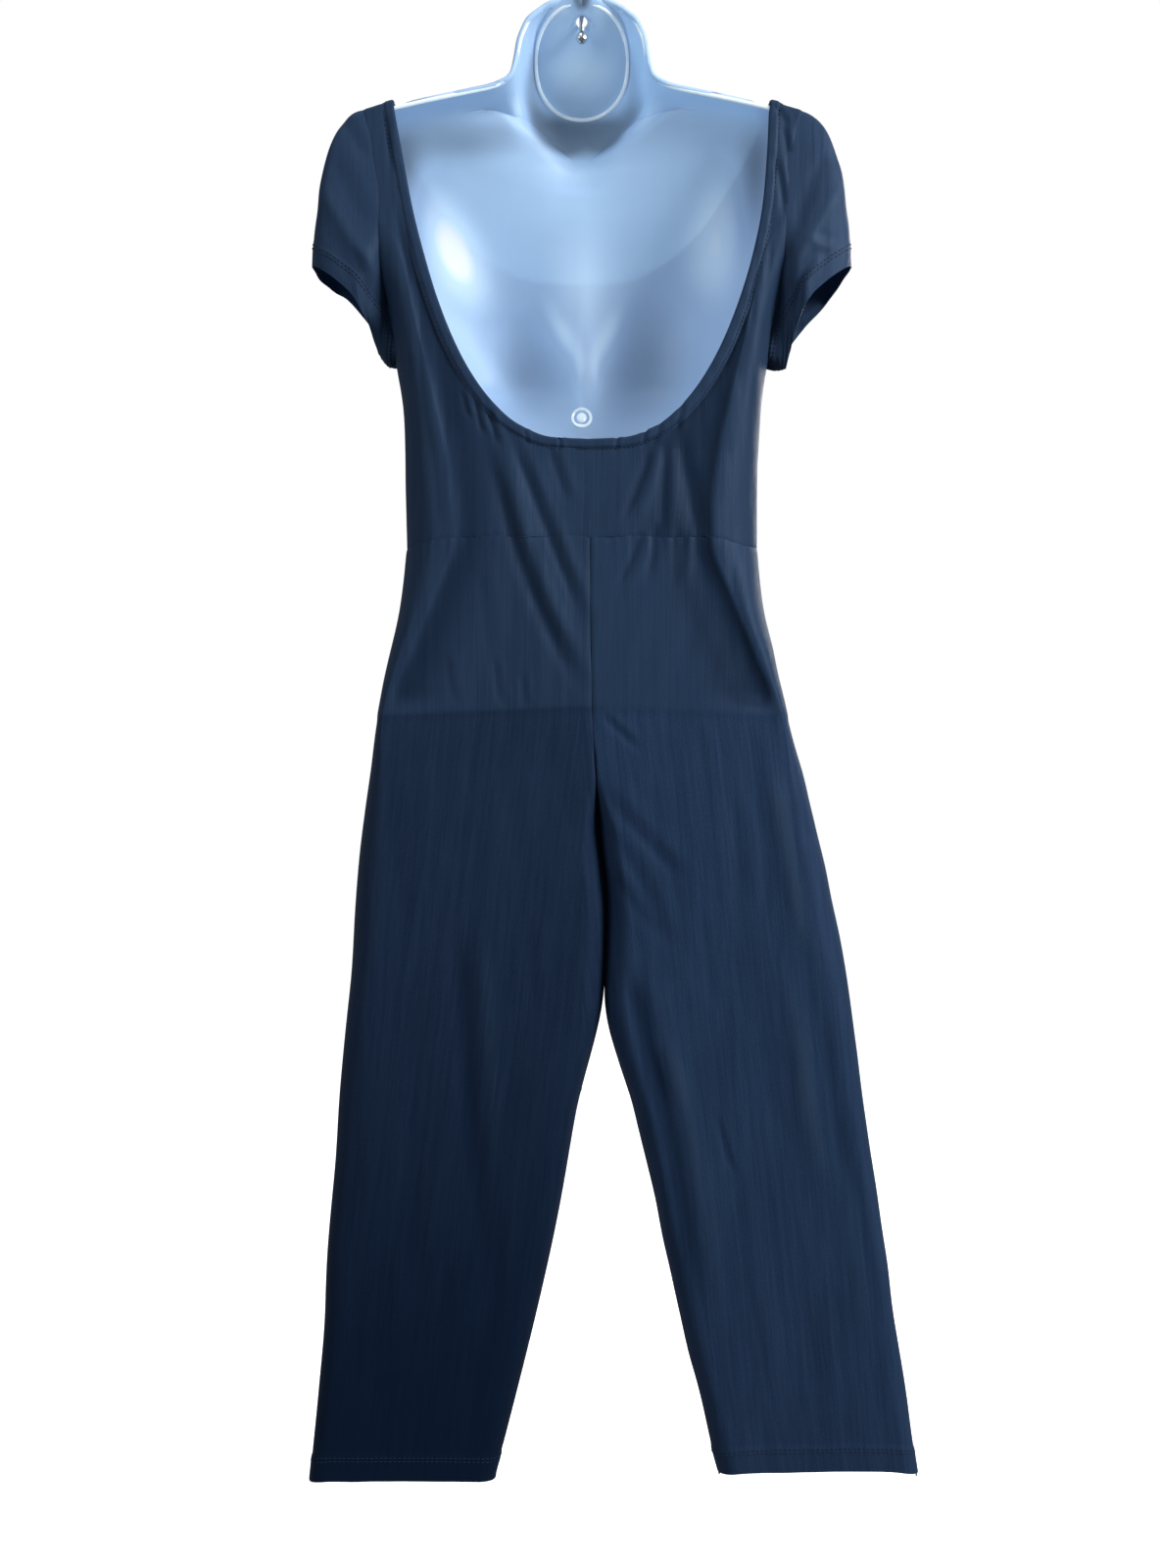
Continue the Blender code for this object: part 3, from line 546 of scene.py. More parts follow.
def knit_finish(name, pale=1.0, dim=0.0):
    """Navy jersey: fine wales and courses on the cut piece, slub and streaks that hang down it,
    soft clouding, a painted lighter field where the form is behind it, painted shade in the folds
    and painted highlights on the ridges. Pale scales its colours, painting each piece lighter or
    darker for how the light falls on it, and dim is how far it falls into painted shade down the
    leg."""
    material, shader, wire = finish(
        name, IOR=1.45, Sheen_Weight=0.02, Sheen_Roughness=0.4,
        Sheen_Tint=(0.42, 0.62, 1.0, 1), Specular_IOR_Level=0.17,
        Specular_Tint=(0.48, 0.68, 1.0, 1))
    point, (x, y, z) = wire.place()
    cut = wire.node("ShaderNodeUVMap", {"uv_map": "cut"})
    across = wire.node("ShaderNodeSeparateXYZ", sockets={0: cut}, out=0)
    along = wire.node("ShaderNodeSeparateXYZ", sockets={0: cut}, out=1)
    wales = wire.math("SINE", across * (2 * np.pi / WALE))
    courses = wire.math("SINE", along * (2 * np.pi / COURSE))
    below = wire.math("MINIMUM", z + (WAIST_DROP + DRAPE["below"]), 0.0)
    drape = wire.node("ShaderNodeCombineXYZ", sockets={
        0: x + wire.math("SIGN", x) * below * DRAPE["spread"], 1: y * 0.3, 2: z})
    slub = wire.noise(drape, 420, 3, 0.6, (1, 1, 0.05)).step(0.34, 0.66)
    streak = wire.noise(drape, 150, 4, 0.7, (1, 1, 0.035)).step(0.36, 0.64)
    grain = wire.noise(cut, 800, 2, 0.5, (1, 0.5, 1)).step(0.32, 0.68)
    cloud = wire.noise(point, 9, 3)
    deep = (*(np.array((0.0056, 0.0148, 0.0360)) * pale), 1)
    light = (*(np.array((0.0150, 0.0300, 0.0680)) * pale), 1)
    base = (cloud * 0.36 + slub * 0.18 + streak * 0.26 + grain * 0.20).tint(deep, light)
    # Painted light: the field above the form's foot is tinted lighter.
    foot = z + wire.math("ABSOLUTE", x) * FOOT_ARCH
    lit = (foot + (WAIST_DROP - FORM_FOOT)).step(-FOOT_BLUR, FOOT_BLUR)
    base = (lit * (cloud * 0.2 + streak * 0.5 + 0.35)).tint(base, (0.0155, 0.0330, 0.070, 1))
    # Painted shade darkens the colour in the troughs of the creases, and painted highlight lightens
    # it on their ridges.
    fold = wire.node("ShaderNodeAttribute", {"attribute_name": "fold"}, out="Fac")
    base = (fold.step(-0.15, -2.6) * 0.60).tint(base, (0.0022, 0.0075, 0.0220, 1))
    base = (fold.step(0.15, 1.9) * (streak * 0.5 + 0.3)).tint(base, (0.0250, 0.0480, 0.0920, 1))
    if dim:
        fade = z.step(DIM["start"], DIM["end"]) * dim
        base = fade.tint(base, (0.0018, 0.0078, 0.025, 1))
    height = wales * 0.30 + courses * 0.15 + slub * 0.5 + streak * 1.2
    feed(shader, {"Base Color": base, "Roughness": slub * 0.10 + cloud * 0.08 + 0.42,
                  "Normal": height.bump(0.35, 0.00025)})
    return material


# Copies of the knit for each piece, painted lighter or darker for how the light falls on it: the
# left leg also fades into painted shade down its length, and the right leg and the sleeves are
# painted lighter.
knit = knit_finish("navy_jersey", (1.20, 1.19, 1.19))
knit_left_painted_shade = knit_finish("navy_jersey_left_leg_painted_shade", 1.0, 0.85)
knit_right_painted_light = knit_finish("navy_jersey_right_leg_painted_light", 1.48)
knit_sleeve_painted_light = {1: knit_finish("navy_jersey_left_sleeve_painted_light", (1.8, 1.7, 1.6)),
               -1: knit_finish("navy_jersey_right_sleeve_painted_light", (3.4, 2.8, 2.45))}


def quarter(wide, deep):
    """Length of a quarter ellipse, by the root mean square of its two radii."""
    return np.pi / 2 * np.sqrt((wide ** 2 + deep ** 2) / 2)


def back_section(height):
    """The back's section at a height: where it starts to bend, and the bend's two radii."""
    rim = read(FORM, "rim", height)
    wide = read(FORM, "half", height) + CLEAR + CLOTH - rim
    return rim, wide, read(FORM, "side", height) + CLEAR + CLOTH


def back_skin(across, height):
    """Cloth on the back: straight from rim to rim, then a quarter ellipse to the side seam."""
    rim, wide, deep = back_section(height)
    bend = np.clip((np.abs(across) - rim) / quarter(wide, deep), 0, 1) * np.pi / 2
    x = np.where(bend > 0, rim + wide * np.sin(bend), np.abs(across))
    y = CLEAR + CLOTH - deep * (1 - np.cos(bend))
    return np.stack([np.sign(across) * x, y, height], axis=-1)


def back_across(x, height):
    """Distance across the cloth from the middle of the back to a point seen at x."""
    rim, wide, deep = back_section(height)
    bend = np.arcsin(np.clip((x - rim) / np.maximum(wide, 1e-4), 0, 1))
    return np.where(x > rim, rim + bend / (np.pi / 2) * quarter(wide, deep), x)


def front_skin(turn, height):
    """Cloth on the front: the form's front moved out along its own direction."""
    def bare(t, h):
        x, y = form_front(t, h)
        return np.stack([x, y, h], axis=-1)
    small = 2e-3
    normal = np.cross(bare(turn + small, height) - bare(turn - small, height),
                      bare(turn, height + small) - bare(turn, height - small))
    normal /= np.linalg.norm(normal, axis=-1, keepdims=True)
    return bare(turn, height) + normal * (CLEAR + CLOTH)


def creases(x, z, table):
    """Height of the cloth's creases. Each runs along a bend through three points; it is a bell
    across, tapered at both ends, with a softer roll of the opposite sense along the side that the
    sign of its last value names: plus is towards x plus for a crease drawn downwards."""
    total = np.zeros_like(x)
    point = np.stack([x, z], axis=-1)[..., None, :]
    t = np.linspace(0, 1, 13)[:, None]
    for x0, z0, x1, z1, x2, z2, width, depth, roll in table:
        start, end = np.array((x0, z0)) * MM, np.array((x2, z2)) * MM
        pull = 2 * np.array((x1, z1)) * MM - (start + end) / 2
        route = start * (1 - t) ** 2 + pull * 2 * t * (1 - t) + end * t * t
        low, step = route[:-1], np.diff(route, axis=0)
        share = ((point - low) * step).sum(-1) / (step ** 2).sum(-1)
        share = np.clip(share, 0, 1)
        gap = point - low - share[..., None] * step
        away = np.linalg.norm(gap, axis=-1)
        near = np.argmin(away, axis=-1)[..., None]
        far = np.take_along_axis(away, near, -1)[..., 0]
        run = (near[..., 0] + np.take_along_axis(share, near, -1)[..., 0]) / len(low)
        side = step[:, 0] * gap[..., 1] - step[:, 1] * gap[..., 0]
        side = np.sign(np.take_along_axis(side, near, -1)[..., 0]) * np.sign(roll)
        ends = smooth(np.minimum(run, 1 - run), 0.0, 0.30)
        w = width * MM
        total += depth * MM * ends * gauss(far, w)
        total -= abs(roll) * depth * MM * ends * gauss(far * side - 1.8 * w, 1.2 * w)
    return total


def ripple(x, z, seed, long, short, amount):
    """Slow uneven waves: a sum of five sines, with wavelengths near short going across and near
    long going up."""
    pick = np.random.default_rng(seed)
    total = np.zeros_like(x)
    for _ in range(5):
        across, up = pick.uniform(0.6, 1.5, 2)
        lean, phase = pick.uniform(-0.35, 0.35), pick.uniform(0, 6.28)
        total += np.sin(6.28 * ((x + lean * z) / (short * across) + z / (long * up)) + phase)
    return total * amount / 5


def pucker(x, distance, seed, pitch, reach, amount):
    """Small gathers along a seam: uneven waves along it that die away with distance."""
    pick = np.random.default_rng(seed)
    bend = 0.9 * np.sin(x / (pitch * 1.7) + pick.uniform(0, 6)) + 1.3 * np.sin(
        x / (pitch * 4.1) + pick.uniform(0, 6))
    swell = 0.55 + 0.45 * np.sin(x / (pitch * 3.3) + pick.uniform(0, 6))
    return amount * swell * np.sin(6.28 * x / pitch + bend) * np.exp(-distance / reach)


def groove(distance, depth=0.0011, width=0.0022):
    """How far the cloth rolls in towards a seam: a bell of this depth and width."""
    return -depth * gauss(distance, width)


def crisp(grid, share=0.10):
    """The grid with one more row and column close inside each edge, so the edge turns sharply."""
    for axis in (0, 1):
        for _ in range(2):
            grid = np.moveaxis(grid, axis, 0)
            near = grid[:1] + (grid[1:2] - grid[:1]) * share
            grid = np.moveaxis(np.concatenate([grid[:1], near, grid[1:]])[::-1], 0, axis)
    return grid


def lay(grid, middle, lift, fold):
    """The grid moved along its own outward directions by lift, with its faces turned away from
    the middle, its edges made crisp, and its creases in the same order. Points on the centre
    line stay on it, so that two halves meet."""
    normals = directions(grid)
    normals[..., 0] *= np.abs(grid[..., 0]) > 1e-7
    row, col = grid.shape[0] // 2, grid.shape[1] // 2
    way = 1.0 if normals[row, col] @ (grid[row, col] - np.array(middle)) > 0 else -1.0
    moved, fold = crisp(grid + normals * way * lift[..., None]), crisp(fold[..., None])[..., 0]
    return (moved, fold) if way > 0 else (moved[:, ::-1], fold[:, ::-1])


def seam_distance(grid, edge):
    """Distance of each point from the first or last row or column, along the grid."""
    axis, last = {"first_row": (0, False), "last_row": (0, True),
                  "first_column": (1, False), "last_column": (1, True)}[edge]
    run = run_length(grid, axis)
    return np.take(run, [-1], axis=axis) - run if last else run


# Creases of the whole back, from neck to hems, in millimetres from the middle of the waist seam:
# start, middle and end (x, z), half width, depth (down is a trough), and the roll beside it.
BACK_CREASES = (
    (78, 94, 48, -24, -7, -138, 6.6, -3.0, -0.6), (63, 95, 31, 14, -8, -86, 5.2, -2.1, -0.6),
    (27, 78, 19, 52, 9, 22, 4.0, -1.4, -0.5), (-60, 82, -49, 44, -31, 6, 4.6, -2.0, -0.6),
    (-50, 6, -42, -20, -26, -50, 4.2, -1.5, -0.5), (-69, 88, -68, 44, -66, -10, 4.4, -1.5, -0.5),
    (-80, 92, -87, 46, -99, -4, 6.5, -1.8, -0.4), (98, 121, 96, 108, 92, 94, 2.4, -1.3, -0.5),
    (87, 112, 85, 98, 79, 78, 2.4, -1.4, -0.5), (76, 106, 73, 90, 67, 70, 2.6, -1.4, -0.5),
    (-84, 112, -81, 98, -78, 84, 2.4, -1.1, -0.5), (-66, 96, -63, 84, -60, 70, 2.4, -1.0, -0.5),
    (18, 84, 18, 77, 17, 66, 1.7, -1.0, -0.4), (-29, 84, -29, 76, -28, 66, 1.7, -1.0, -0.4),
    (-52, 92, -52, 84, -50, 72, 1.8, -0.9, -0.4), (48, 90, 46, 82, 43, 70, 1.8, -0.8, -0.4),
    (109, -94, 109, -118, 105, -138, 2.8, -1.1, -0.5),
    (73, -96, 70, -120, 67, -142, 3.0, -1.3, -0.5), (49, -110, 48, -128, 45, -144, 2.6, -1.0, -0.5),
    (84, -20, 79, -60, 74, -112, 6.0, -0.7, -0.5), (126, 96, 121, 50, 118, -6, 4.2, -0.7, -0.5),
    (106, 96, 104, 50, 102, -40, 4.6, 0.6, 0.4), (136, 184, 131, 120, 127, 40, 4.8, -0.8, -0.4),
    (142, 120, 139, 60, 140, 6, 4.0, -0.6, -0.4), (56, 60, 52, 20, 44, -30, 5.0, 0.5, 0.4),
    (-8, 70, -10, 40, -10, 4, 5.0, 0.4, 0.4), (-92, 60, -96, 20, -104, -60, 7.0, -0.9, -0.4),
    (-122, -10, -131, -60, -146, -120, 5.0, -1.1, -0.3),
    (-62, 14, -60, -10, -54, -44, 4.6, -0.9, -0.5), (-80, 10, -80, -14, -76, -50, 5.0, -0.8, -0.5),
    (-148, 244, -139, 174, -130, 100, 3.8, -1.4, -0.5),
    (-135, 184, -131, 150, -126, 116, 3.2, -1.0, -0.5),
    (-162, 338, -168, 312, -169, 284, 2.8, -1.3, -0.5),
    (-157, 312, -163, 284, -166, 256, 2.8, -1.2, -0.5),
    (-155, 349, -163, 340, -170, 328, 2.4, -0.9, -0.4),
    (-158, 246, -152, 214, -146, 180, 3.2, -0.9, -0.4),
    (160, 348, 158, 322, 155, 288, 2.6, -0.8, -0.4),
    (152, 272, 146, 232, 139, 196, 3.4, -0.9, -0.4),
    (-16, -146, -30, -160, -52, -180, 3.2, -1.1, -0.5),
    (-17, -204, -44, -242, -96, -296, 6.4, -1.3, -0.5),
    (-24, -278, -40, -303, -68, -342, 5.4, -0.8, -0.5),
    (-22, -238, -52, -292, -84, -368, 7.0, -1.2, -0.5),
    (-160, -184, -174, -264, -200, -380, 9.0, 1.6, 0.4),
    (-126, -206, -132, -256, -136, -318, 6.5, -1.0, -0.5),
    (-75, -262, -80, -306, -92, -372, 6.5, -0.7, -0.5),
    (-40, -356, -56, -426, -70, -500, 9.0, -2.5, -0.4),
    (-54, -420, -82, -540, -104, -700, 9.5, -2.5, -0.5),
    (-116, -484, -123, -518, -134, -550, 2.8, -1.2, -0.5),
    (-119, -590, -126, -635, -130, -690, 5.0, -0.45, -0.5),
    (-236, -500, -250, -606, -270, -720, 8.0, -1.5, 0.5),
    (-200, -370, -218, -480, -234, -600, 9.0, -1.3, 0.5),
    (-150, -340, -160, -430, -176, -540, 10.0, -1.0, -0.5),
    (-186, -600, -200, -690, -210, -770, 8.0, -0.6, -0.5),
    (-146, -640, -158, -700, -168, -770, 6.5, -0.6, -0.5),
    (-94, -300, -106, -352, -112, -410, 6.0, -0.7, -0.5),
    (-176, -360, -190, -450, -208, -570, 8.0, 1.0, 0.4),
    (104, -322, 97, -440, 86, -660, 10.0, -2.2, -0.5),
    (50, -300, 45, -354, 37, -420, 6.5, -0.6, -0.5),
    (160, -190, 157, -260, 152, -340, 7.5, -0.5, -0.5),
    (140, -380, 146, -520, 150, -690, 11.0, -0.9, -0.4),
    (190, -400, 196, -540, 208, -720, 11.0, -0.8, -0.4),
    (56, -440, 74, -560, 90, -700, 9.0, -0.9, -0.5),
    (120, -600, 122, -690, 128, -780, 7.0, -0.7, -0.4),
    (168, -600, 176, -700, 182, -790, 7.5, -0.7, -0.4),
    (70, -166, 58, -236, 40, -330, 9.0, -0.6, -0.5),
    (122, -162, 116, -220, 112, -300, 8.0, -0.7, -0.4),
    (-138, -150, -148, -206, -154, -270, 5.4, -0.5, -0.5),
    (-94, -150, -104, -200, -110, -260, 5.6, -0.5, -0.5),
    (30, -160, 16, -214, 2, -270, 7.0, -0.5, -0.5), (80, -700, 84, -740, 92, -790, 6.0, 0.6, 0.4),
)


def rim_pull(x, z):
    """Cloth stretched over the open back: it sinks just inside each rim of the form, most on the
    wearer's right at the waist, and steps in below the form's foot."""
    rim = read(FORM, "rim", z)
    within = np.clip(rim - np.abs(x), 0, None)
    reach = np.where(x < 0, 0.013, 0.012)
    deep = np.where(x < 0, 0.0046, 0.0022)
    where = smooth(z, -0.150, -0.128) * (1 - smooth(z, 0.21, 0.26))
    sink = -deep * where * within / reach * np.exp(1 - within / reach)
    below = FORM_FOOT - z - FOOT_ARCH * np.abs(x)
    return sink, -0.0007 * smooth(below, -0.002, 0.006) * (1 - smooth(below, 0.03, 0.12))


SEAM_DIP = 0.0075        # how far the waist seam dips at the side seams


def dip(grid):
    """The grid with its waist seam dipped towards the side seams and a little uneven."""
    fall = SEAM_DIP * smooth(np.abs(grid[..., 0]), 0.100, 0.152) * gauss(grid[..., 2], 0.055)
    wander = 0.0006 * np.sin(grid[..., 0] / 0.0093) * gauss(grid[..., 2], 0.010)
    return grid + (wander - fall)[..., None] * (0, 0, 1)


def edge_points(points, count):
    """Evenly spread points on the smooth curve through a short list of plane points."""
    points = np.array(points, float) * MM
    run = run_length(points[None], 1)[0]
    fine = np.linspace(0, run[-1], 800)
    return evenly(np.stack([through(fine, run, points[:, k]) for k in (0, 1)], axis=1), count)


# ---------------------------------------------------------------------------------------------
# The bodice: a back with a deep scoop and a front with a shallower one, each cut in one piece
# from side seam to side seam and sewn at the sides, the shoulders and the waist.
# ---------------------------------------------------------------------------------------------
BACK_NECK = ((0, 79), (30, 80.5), (57, 90.5), (80, 110), (103.5, 144), (122, 186), (134.5, 226),
             (144, 268), (149, 305), (154, 349.5))
FRONT_NECK = ((0, 232), (40, 236), (76, 250), (106, 273), (130, 304), (146, 330), (154, 349))
ARMHOLE = ((160, 146), (157.5, 156), (161, 183), (166, 217), (168, 260), (170.5, 300),
           (174, 322), (180, 341.8))
SCOOP_DRIFT = -0.0055    # the scoop hangs this far to the wearer's right
TURN_OVER = 0.003        # radius of the turn at the top of each back strap
MIDDLE_ROWS = dict(back=34, front=70)    # rows of points up the centre line, to the neck edge
FRONT_CREASES = (
    (118, 120, 96, 110, 70, 112, 4.0, -1.6, 0.6), (-120, 118, -98, 106, -72, 110, 4.0, -1.5, -0.6),
    (30, 70, 24, 40, 20, 4, 4.0, -1.4, 0.6), (-38, 76, -34, 44, -28, 4, 4.0, -1.4, -0.6),
    (70, 84, 66, 44, 62, 6, 3.6, -1.2, 0.5), (-80, 80, -78, 42, -76, 6, 3.6, -1.1, -0.5),
    (6, 226, 2, 190, 4, 150, 5.0, -1.6, 0.5), (-40, 226, -34, 206, -30, 186, 3.0, -0.9, 0.5),
    (44, 228, 38, 208, 34, 190, 3.0, -0.9, -0.5), (50, -6, 40, -60, 14, -120, 4.4, -1.8, 0.6),
    (-60, -6, -48, -56, -18, -112, 4.4, -1.6, -0.6),
    (100, -120, 98, -134, 96, -150, 3.0, -0.9, 0.5), (18, -150, 34, -172, 56, -190, 4.0, -1.6, 0.6),
    (-18, -152, -40, -180, -70, -202, 4.0, -1.7, -0.6),
    (22, -196, 48, -226, 84, -250, 4.4, -1.6, 0.6),
    (-24, -204, -52, -240, -92, -262, 4.4, -1.7, -0.6),
    (104, -340, 98, -450, 92, -590, 7.0, -2.0, 0.5),
    (150, -420, 156, -540, 166, -680, 7.0, -1.4, 0.5),
    (-104, -350, -122, -460, -138, -600, 7.0, -2.0, -0.5),
    (-70, -420, -92, -520, -106, -620, 6.0, -1.8, -0.6),
    (-170, -400, -186, -520, -206, -660, 7.0, -1.4, 0.5),
    (-230, -560, -244, -620, -256, -680, 5.5, -1.4, 0.5),
    (60, -560, 76, -640, 88, -720, 5.5, -1.3, -0.5),
    (196, -360, 200, -420, 206, -490, 5.0, -1.2, 0.5),
)


def bodice_half(sign, neck, face, columns, rows):
    """Half a bodice as a grid of (across, height): rows run from the middle and the neck edge out
    to the side seam and the armhole, evenly shared between."""
    low, middle_rows = neck[0][1] * MM, MIDDLE_ROWS[face]
    column = np.stack([np.zeros(middle_rows), np.linspace(0, low, middle_rows)], axis=1)
    inner = np.concatenate([column[:-1], edge_points(neck, rows)])
    side_rows = middle_rows + rows // 3
    seam = np.stack([np.full(side_rows, 0.5), np.linspace(0, ARMHOLE[0][1] * MM, side_rows)],
                    axis=1)
    outer = np.concatenate([seam[:-1], edge_points(ARMHOLE, len(inner) - side_rows + 1)])
    share = np.linspace(0, 1, columns)[None, :]
    if face == "back":
        drift = SCOOP_DRIFT * (1 - np.clip((inner[:, 1] - 0.21) / 0.13, 0, 1) ** 2)
        start = sign * back_across(inner[:, 0], inner[:, 1]) + drift
        end = sign * back_across(outer[:, 0], outer[:, 1])
    else:
        start, end = (front_turn(line[:, 0], line[:, 1]) for line in (inner, outer))
    across = start[:, None] + (end - start)[:, None] * share
    return across, inner[:, 1:] + (outer - inner)[:, 1:] * share


def front_turn(x, height):
    """The turn at which the form's front reaches x to either side."""
    return np.arcsin(np.clip(np.abs(x) / read(FORM, "half", height), 0, 1))


def over_shoulder(row, steps=6):
    """Rows that carry the top of a back strap forward over the form to the shoulder seam: a small
    quarter turn, then flat, to just behind and below the top edge of the front."""
    angle = np.linspace(0, np.pi / 2, steps + 1)[1:, None]
    rise = TURN_OVER * np.concatenate([0 * angle, np.cos(angle) - 1, np.sin(angle)], axis=1)
    turned = row[None] + rise[:, None, :]
    end = turned[-1].copy()
    end[:, 1] = front_skin(front_turn(row[:, 0], row[:, 2]), row[:, 2])[:, 1] + 0.0010
    end[:, 2] -= 0.0004
    flat = turned[-1] + (end - turned[-1]) * np.linspace(0, 1, steps + 1)[1:, None, None]
    return np.concatenate([turned, flat])


def back_half(sign):
    """Half the back, before any crease."""
    grid = back_skin(*bodice_half(sign, BACK_NECK, "back", 78, 126))
    return dip(np.concatenate([grid, over_shoulder(grid[-1])]))


def front_half(sign):
    """Half the front, before any crease."""
    return dip(front_skin(*bodice_half(sign, FRONT_NECK, "front", 70, 66)) * (sign, 1, 1))


def bodice_lift(grid, seed):
    """Slow ripples, waist gathers and the roll towards the seams of a bodice half."""
    x, z = grid[..., 0], grid[..., 2]
    waist = seam_distance(grid, "first_row")
    lift = ripple(x, z, seed, 0.150, 0.055, 0.0007)
    lift += ripple(x, z, seed + 1, 0.090, 0.011, 0.00016) * smooth(np.abs(x), 0.06, 0.11)
    lift += pucker(x, waist, seed + 2, 0.0095, 0.013, 0.00030)
    lift += groove(waist, 0.0002, 0.0010) + groove(seam_distance(grid, "last_row"))
    set_in = 1 - 0.6 * smooth(z, 0.150, 0.165)
    return lift + groove(seam_distance(grid, "last_column")) * set_in


def neck_gathers(grid):
    """Small gathers down from the scoop, where the binding draws the back in."""
    away = seam_distance(grid, "first_column")
    gathers = pucker(grid[..., 2], away, 15, 0.011, 0.007, 0.0003)
    return gathers * smooth(grid[..., 2], 0.085, 0.12)


TORSO_MIDDLE = (0, -0.040, 0.10)
bodice_grids = {}
for face, half, creased, seed, width, area in (
        ("back", back_half, BACK_CREASES, 11, 0.385, 0.057),
        ("front", front_half, FRONT_CREASES, 31, 0.415, 0.098)):
    halves, folds = [], []
    for sign in (1, -1):
        grid = half(sign)
        fold = creases(grid[..., 0], grid[..., 2], creased)
        lift = bodice_lift(grid, seed)
        if face == "back":
            fold += rim_pull(grid[..., 0], grid[..., 2])[0] * (grid[..., 1] > -0.001)
            lift += neck_gathers(grid)
        bodice_grids[face, sign] = grid
        laid, fold = lay(grid, TORSO_MIDDLE, lift + fold, fold)
        halves.append(laid)
        folds.append(fold)
    bodice = dress(surface(f"{face}_bodice_cloth", halves, CLOTH, folds), knit, "knit",
                   f"{face}_bodice")


# ---------------------------------------------------------------------------------------------
# The binding: a bias strip of the same jersey turned over the raw neck edge all round and sewn
# down near its inner side. It is a soft roll that stands a little proud of the bodice.
# ---------------------------------------------------------------------------------------------
BAND = dict(width=0.0105, wall=0.0012, stand=0.0007, roll=0.0005, stitch=0.80, over=0.0008,
            sink=0.0016, dent=0.0002, curl=0.0012, wave=0.00015)
NECK_MIDDLE = (0, -0.040, 0.18)


def neck_edge():
    """The neck edge and a line just inside it, all the way round: down the wearer's left of the
    back from its middle, over the shoulder, round the front and back along the right."""
    paths = []
    for sign in (1, -1):
        back, front = (bodice_grids[face, sign][MIDDLE_ROWS[face] - 1:, (0, 5)]
                       for face in ("back", "front"))
        paths += ([back, front[::-1][1:]] if sign > 0 else [front[1:], back[:0:-1]])
    return np.moveaxis(np.concatenate(paths), 1, 0)


def band_skin(columns=13, count=900):
    """The binding's outer face: the neck edge carried inward by the band's width, standing off the
    bodice by a roll that is a half sine across, which sinks in at its inner side, at the
    stitching and over the neck edge."""
    edge, inside = (np.concatenate([line, line[:1]]) for line in neck_edge())
    run = run_length(edge[None], 1)[0]
    even = np.linspace(0, run[-1], count)
    edge, inside = sample(even, run, edge), sample(even, run, inside)
    along = np.roll(edge[:-1], -1, axis=0) - np.roll(edge[:-1], 1, axis=0)
    along = np.concatenate([along, along[:1]])
    along /= np.linalg.norm(along, axis=1, keepdims=True)
    inward = inside - edge
    inward -= (inward * along).sum(1, keepdims=True) * along
    inward /= np.linalg.norm(inward, axis=1, keepdims=True)
    normal = np.cross(along, inward)
    normal *= np.sign((normal * (edge - NECK_MIDDLE)).sum(1, keepdims=True))
    share = np.linspace(0, 1, columns)[None, :, None]
    stand = BAND["stand"] + BAND["roll"] * np.sin(np.pi * np.clip(share, 0.02, 0.98)) ** 0.6
    stand -= BAND["sink"] * smooth(share, 0.55, 1.0)
    stand -= BAND["dent"] * gauss(share - BAND["stitch"], 0.06)
    stand -= BAND["curl"] * gauss(share, 0.06)
    wave = BAND["wave"] * np.sin(even / 0.0031)[:, None, None] * gauss(share - 0.5, 0.4)
    grid = (edge[:, None] + inward[:, None] * (share * BAND["width"] - BAND["over"])
            + normal[:, None] * (stand + wave))
    return grid, normal


band_grid, band_normal = band_skin()
band_fold = creases(band_grid[..., 0], band_grid[..., 2], BACK_CREASES)
band_fold *= smooth(band_grid[..., 1], -0.012, -0.002)
band_laid, band_fold = lay(band_grid, NECK_MIDDLE, band_fold, band_fold)
binding = dress(surface("neck_binding_cloth", [band_laid], BAND["wall"], [band_fold]), knit,
                "knit", "neck_binding")


# ---------------------------------------------------------------------------------------------
# The cap sleeves: each is one piece set into the armhole, drawn over the end of the form's
# shoulder and left to hang, with a narrow turned hem sewn by two rows of stitching.
# ---------------------------------------------------------------------------------------------
SLEEVE = dict(
    columns=("turn", "pull_x", "pull_y", "pull_z", "hem_x", "hem_y", "hem_z"),
    rows=(
        (0.000, 214, -20, 340, 226, -32, 227), (0.045, 215, 6, 340, 224, -16, 225),
        (0.100, 219, 9, 315, 215, -4, 219), (0.170, 204, 8, 280, 203, 0, 210),
        (0.280, 182, 7, 230, 188, 0, 196), (0.400, 171, -8, 188, 179, -12, 176),
        (0.510, 167, -44, 145, 174, -43, 148), (0.620, 171, -78, 188, 181, -70, 170),
        (0.740, 183, -88, 232, 195, -76, 190), (0.850, 205, -82, 280, 211, -74, 207),
        (0.930, 217, -58, 321, 221, -58, 220), (1.000, 214, -20, 340, 226, -32, 227),
    ))
SLEEVE_HEM = 0.018
SET_IN = 0.0045          # how far the sleeve reaches under the bodice at the armhole
LEFT_RAISE = 0.014       # the left sleeve's hem is this much higher under the arm
ARM_MIDDLE = (0.19, -0.038, 0.25)        # a point inside the left sleeve
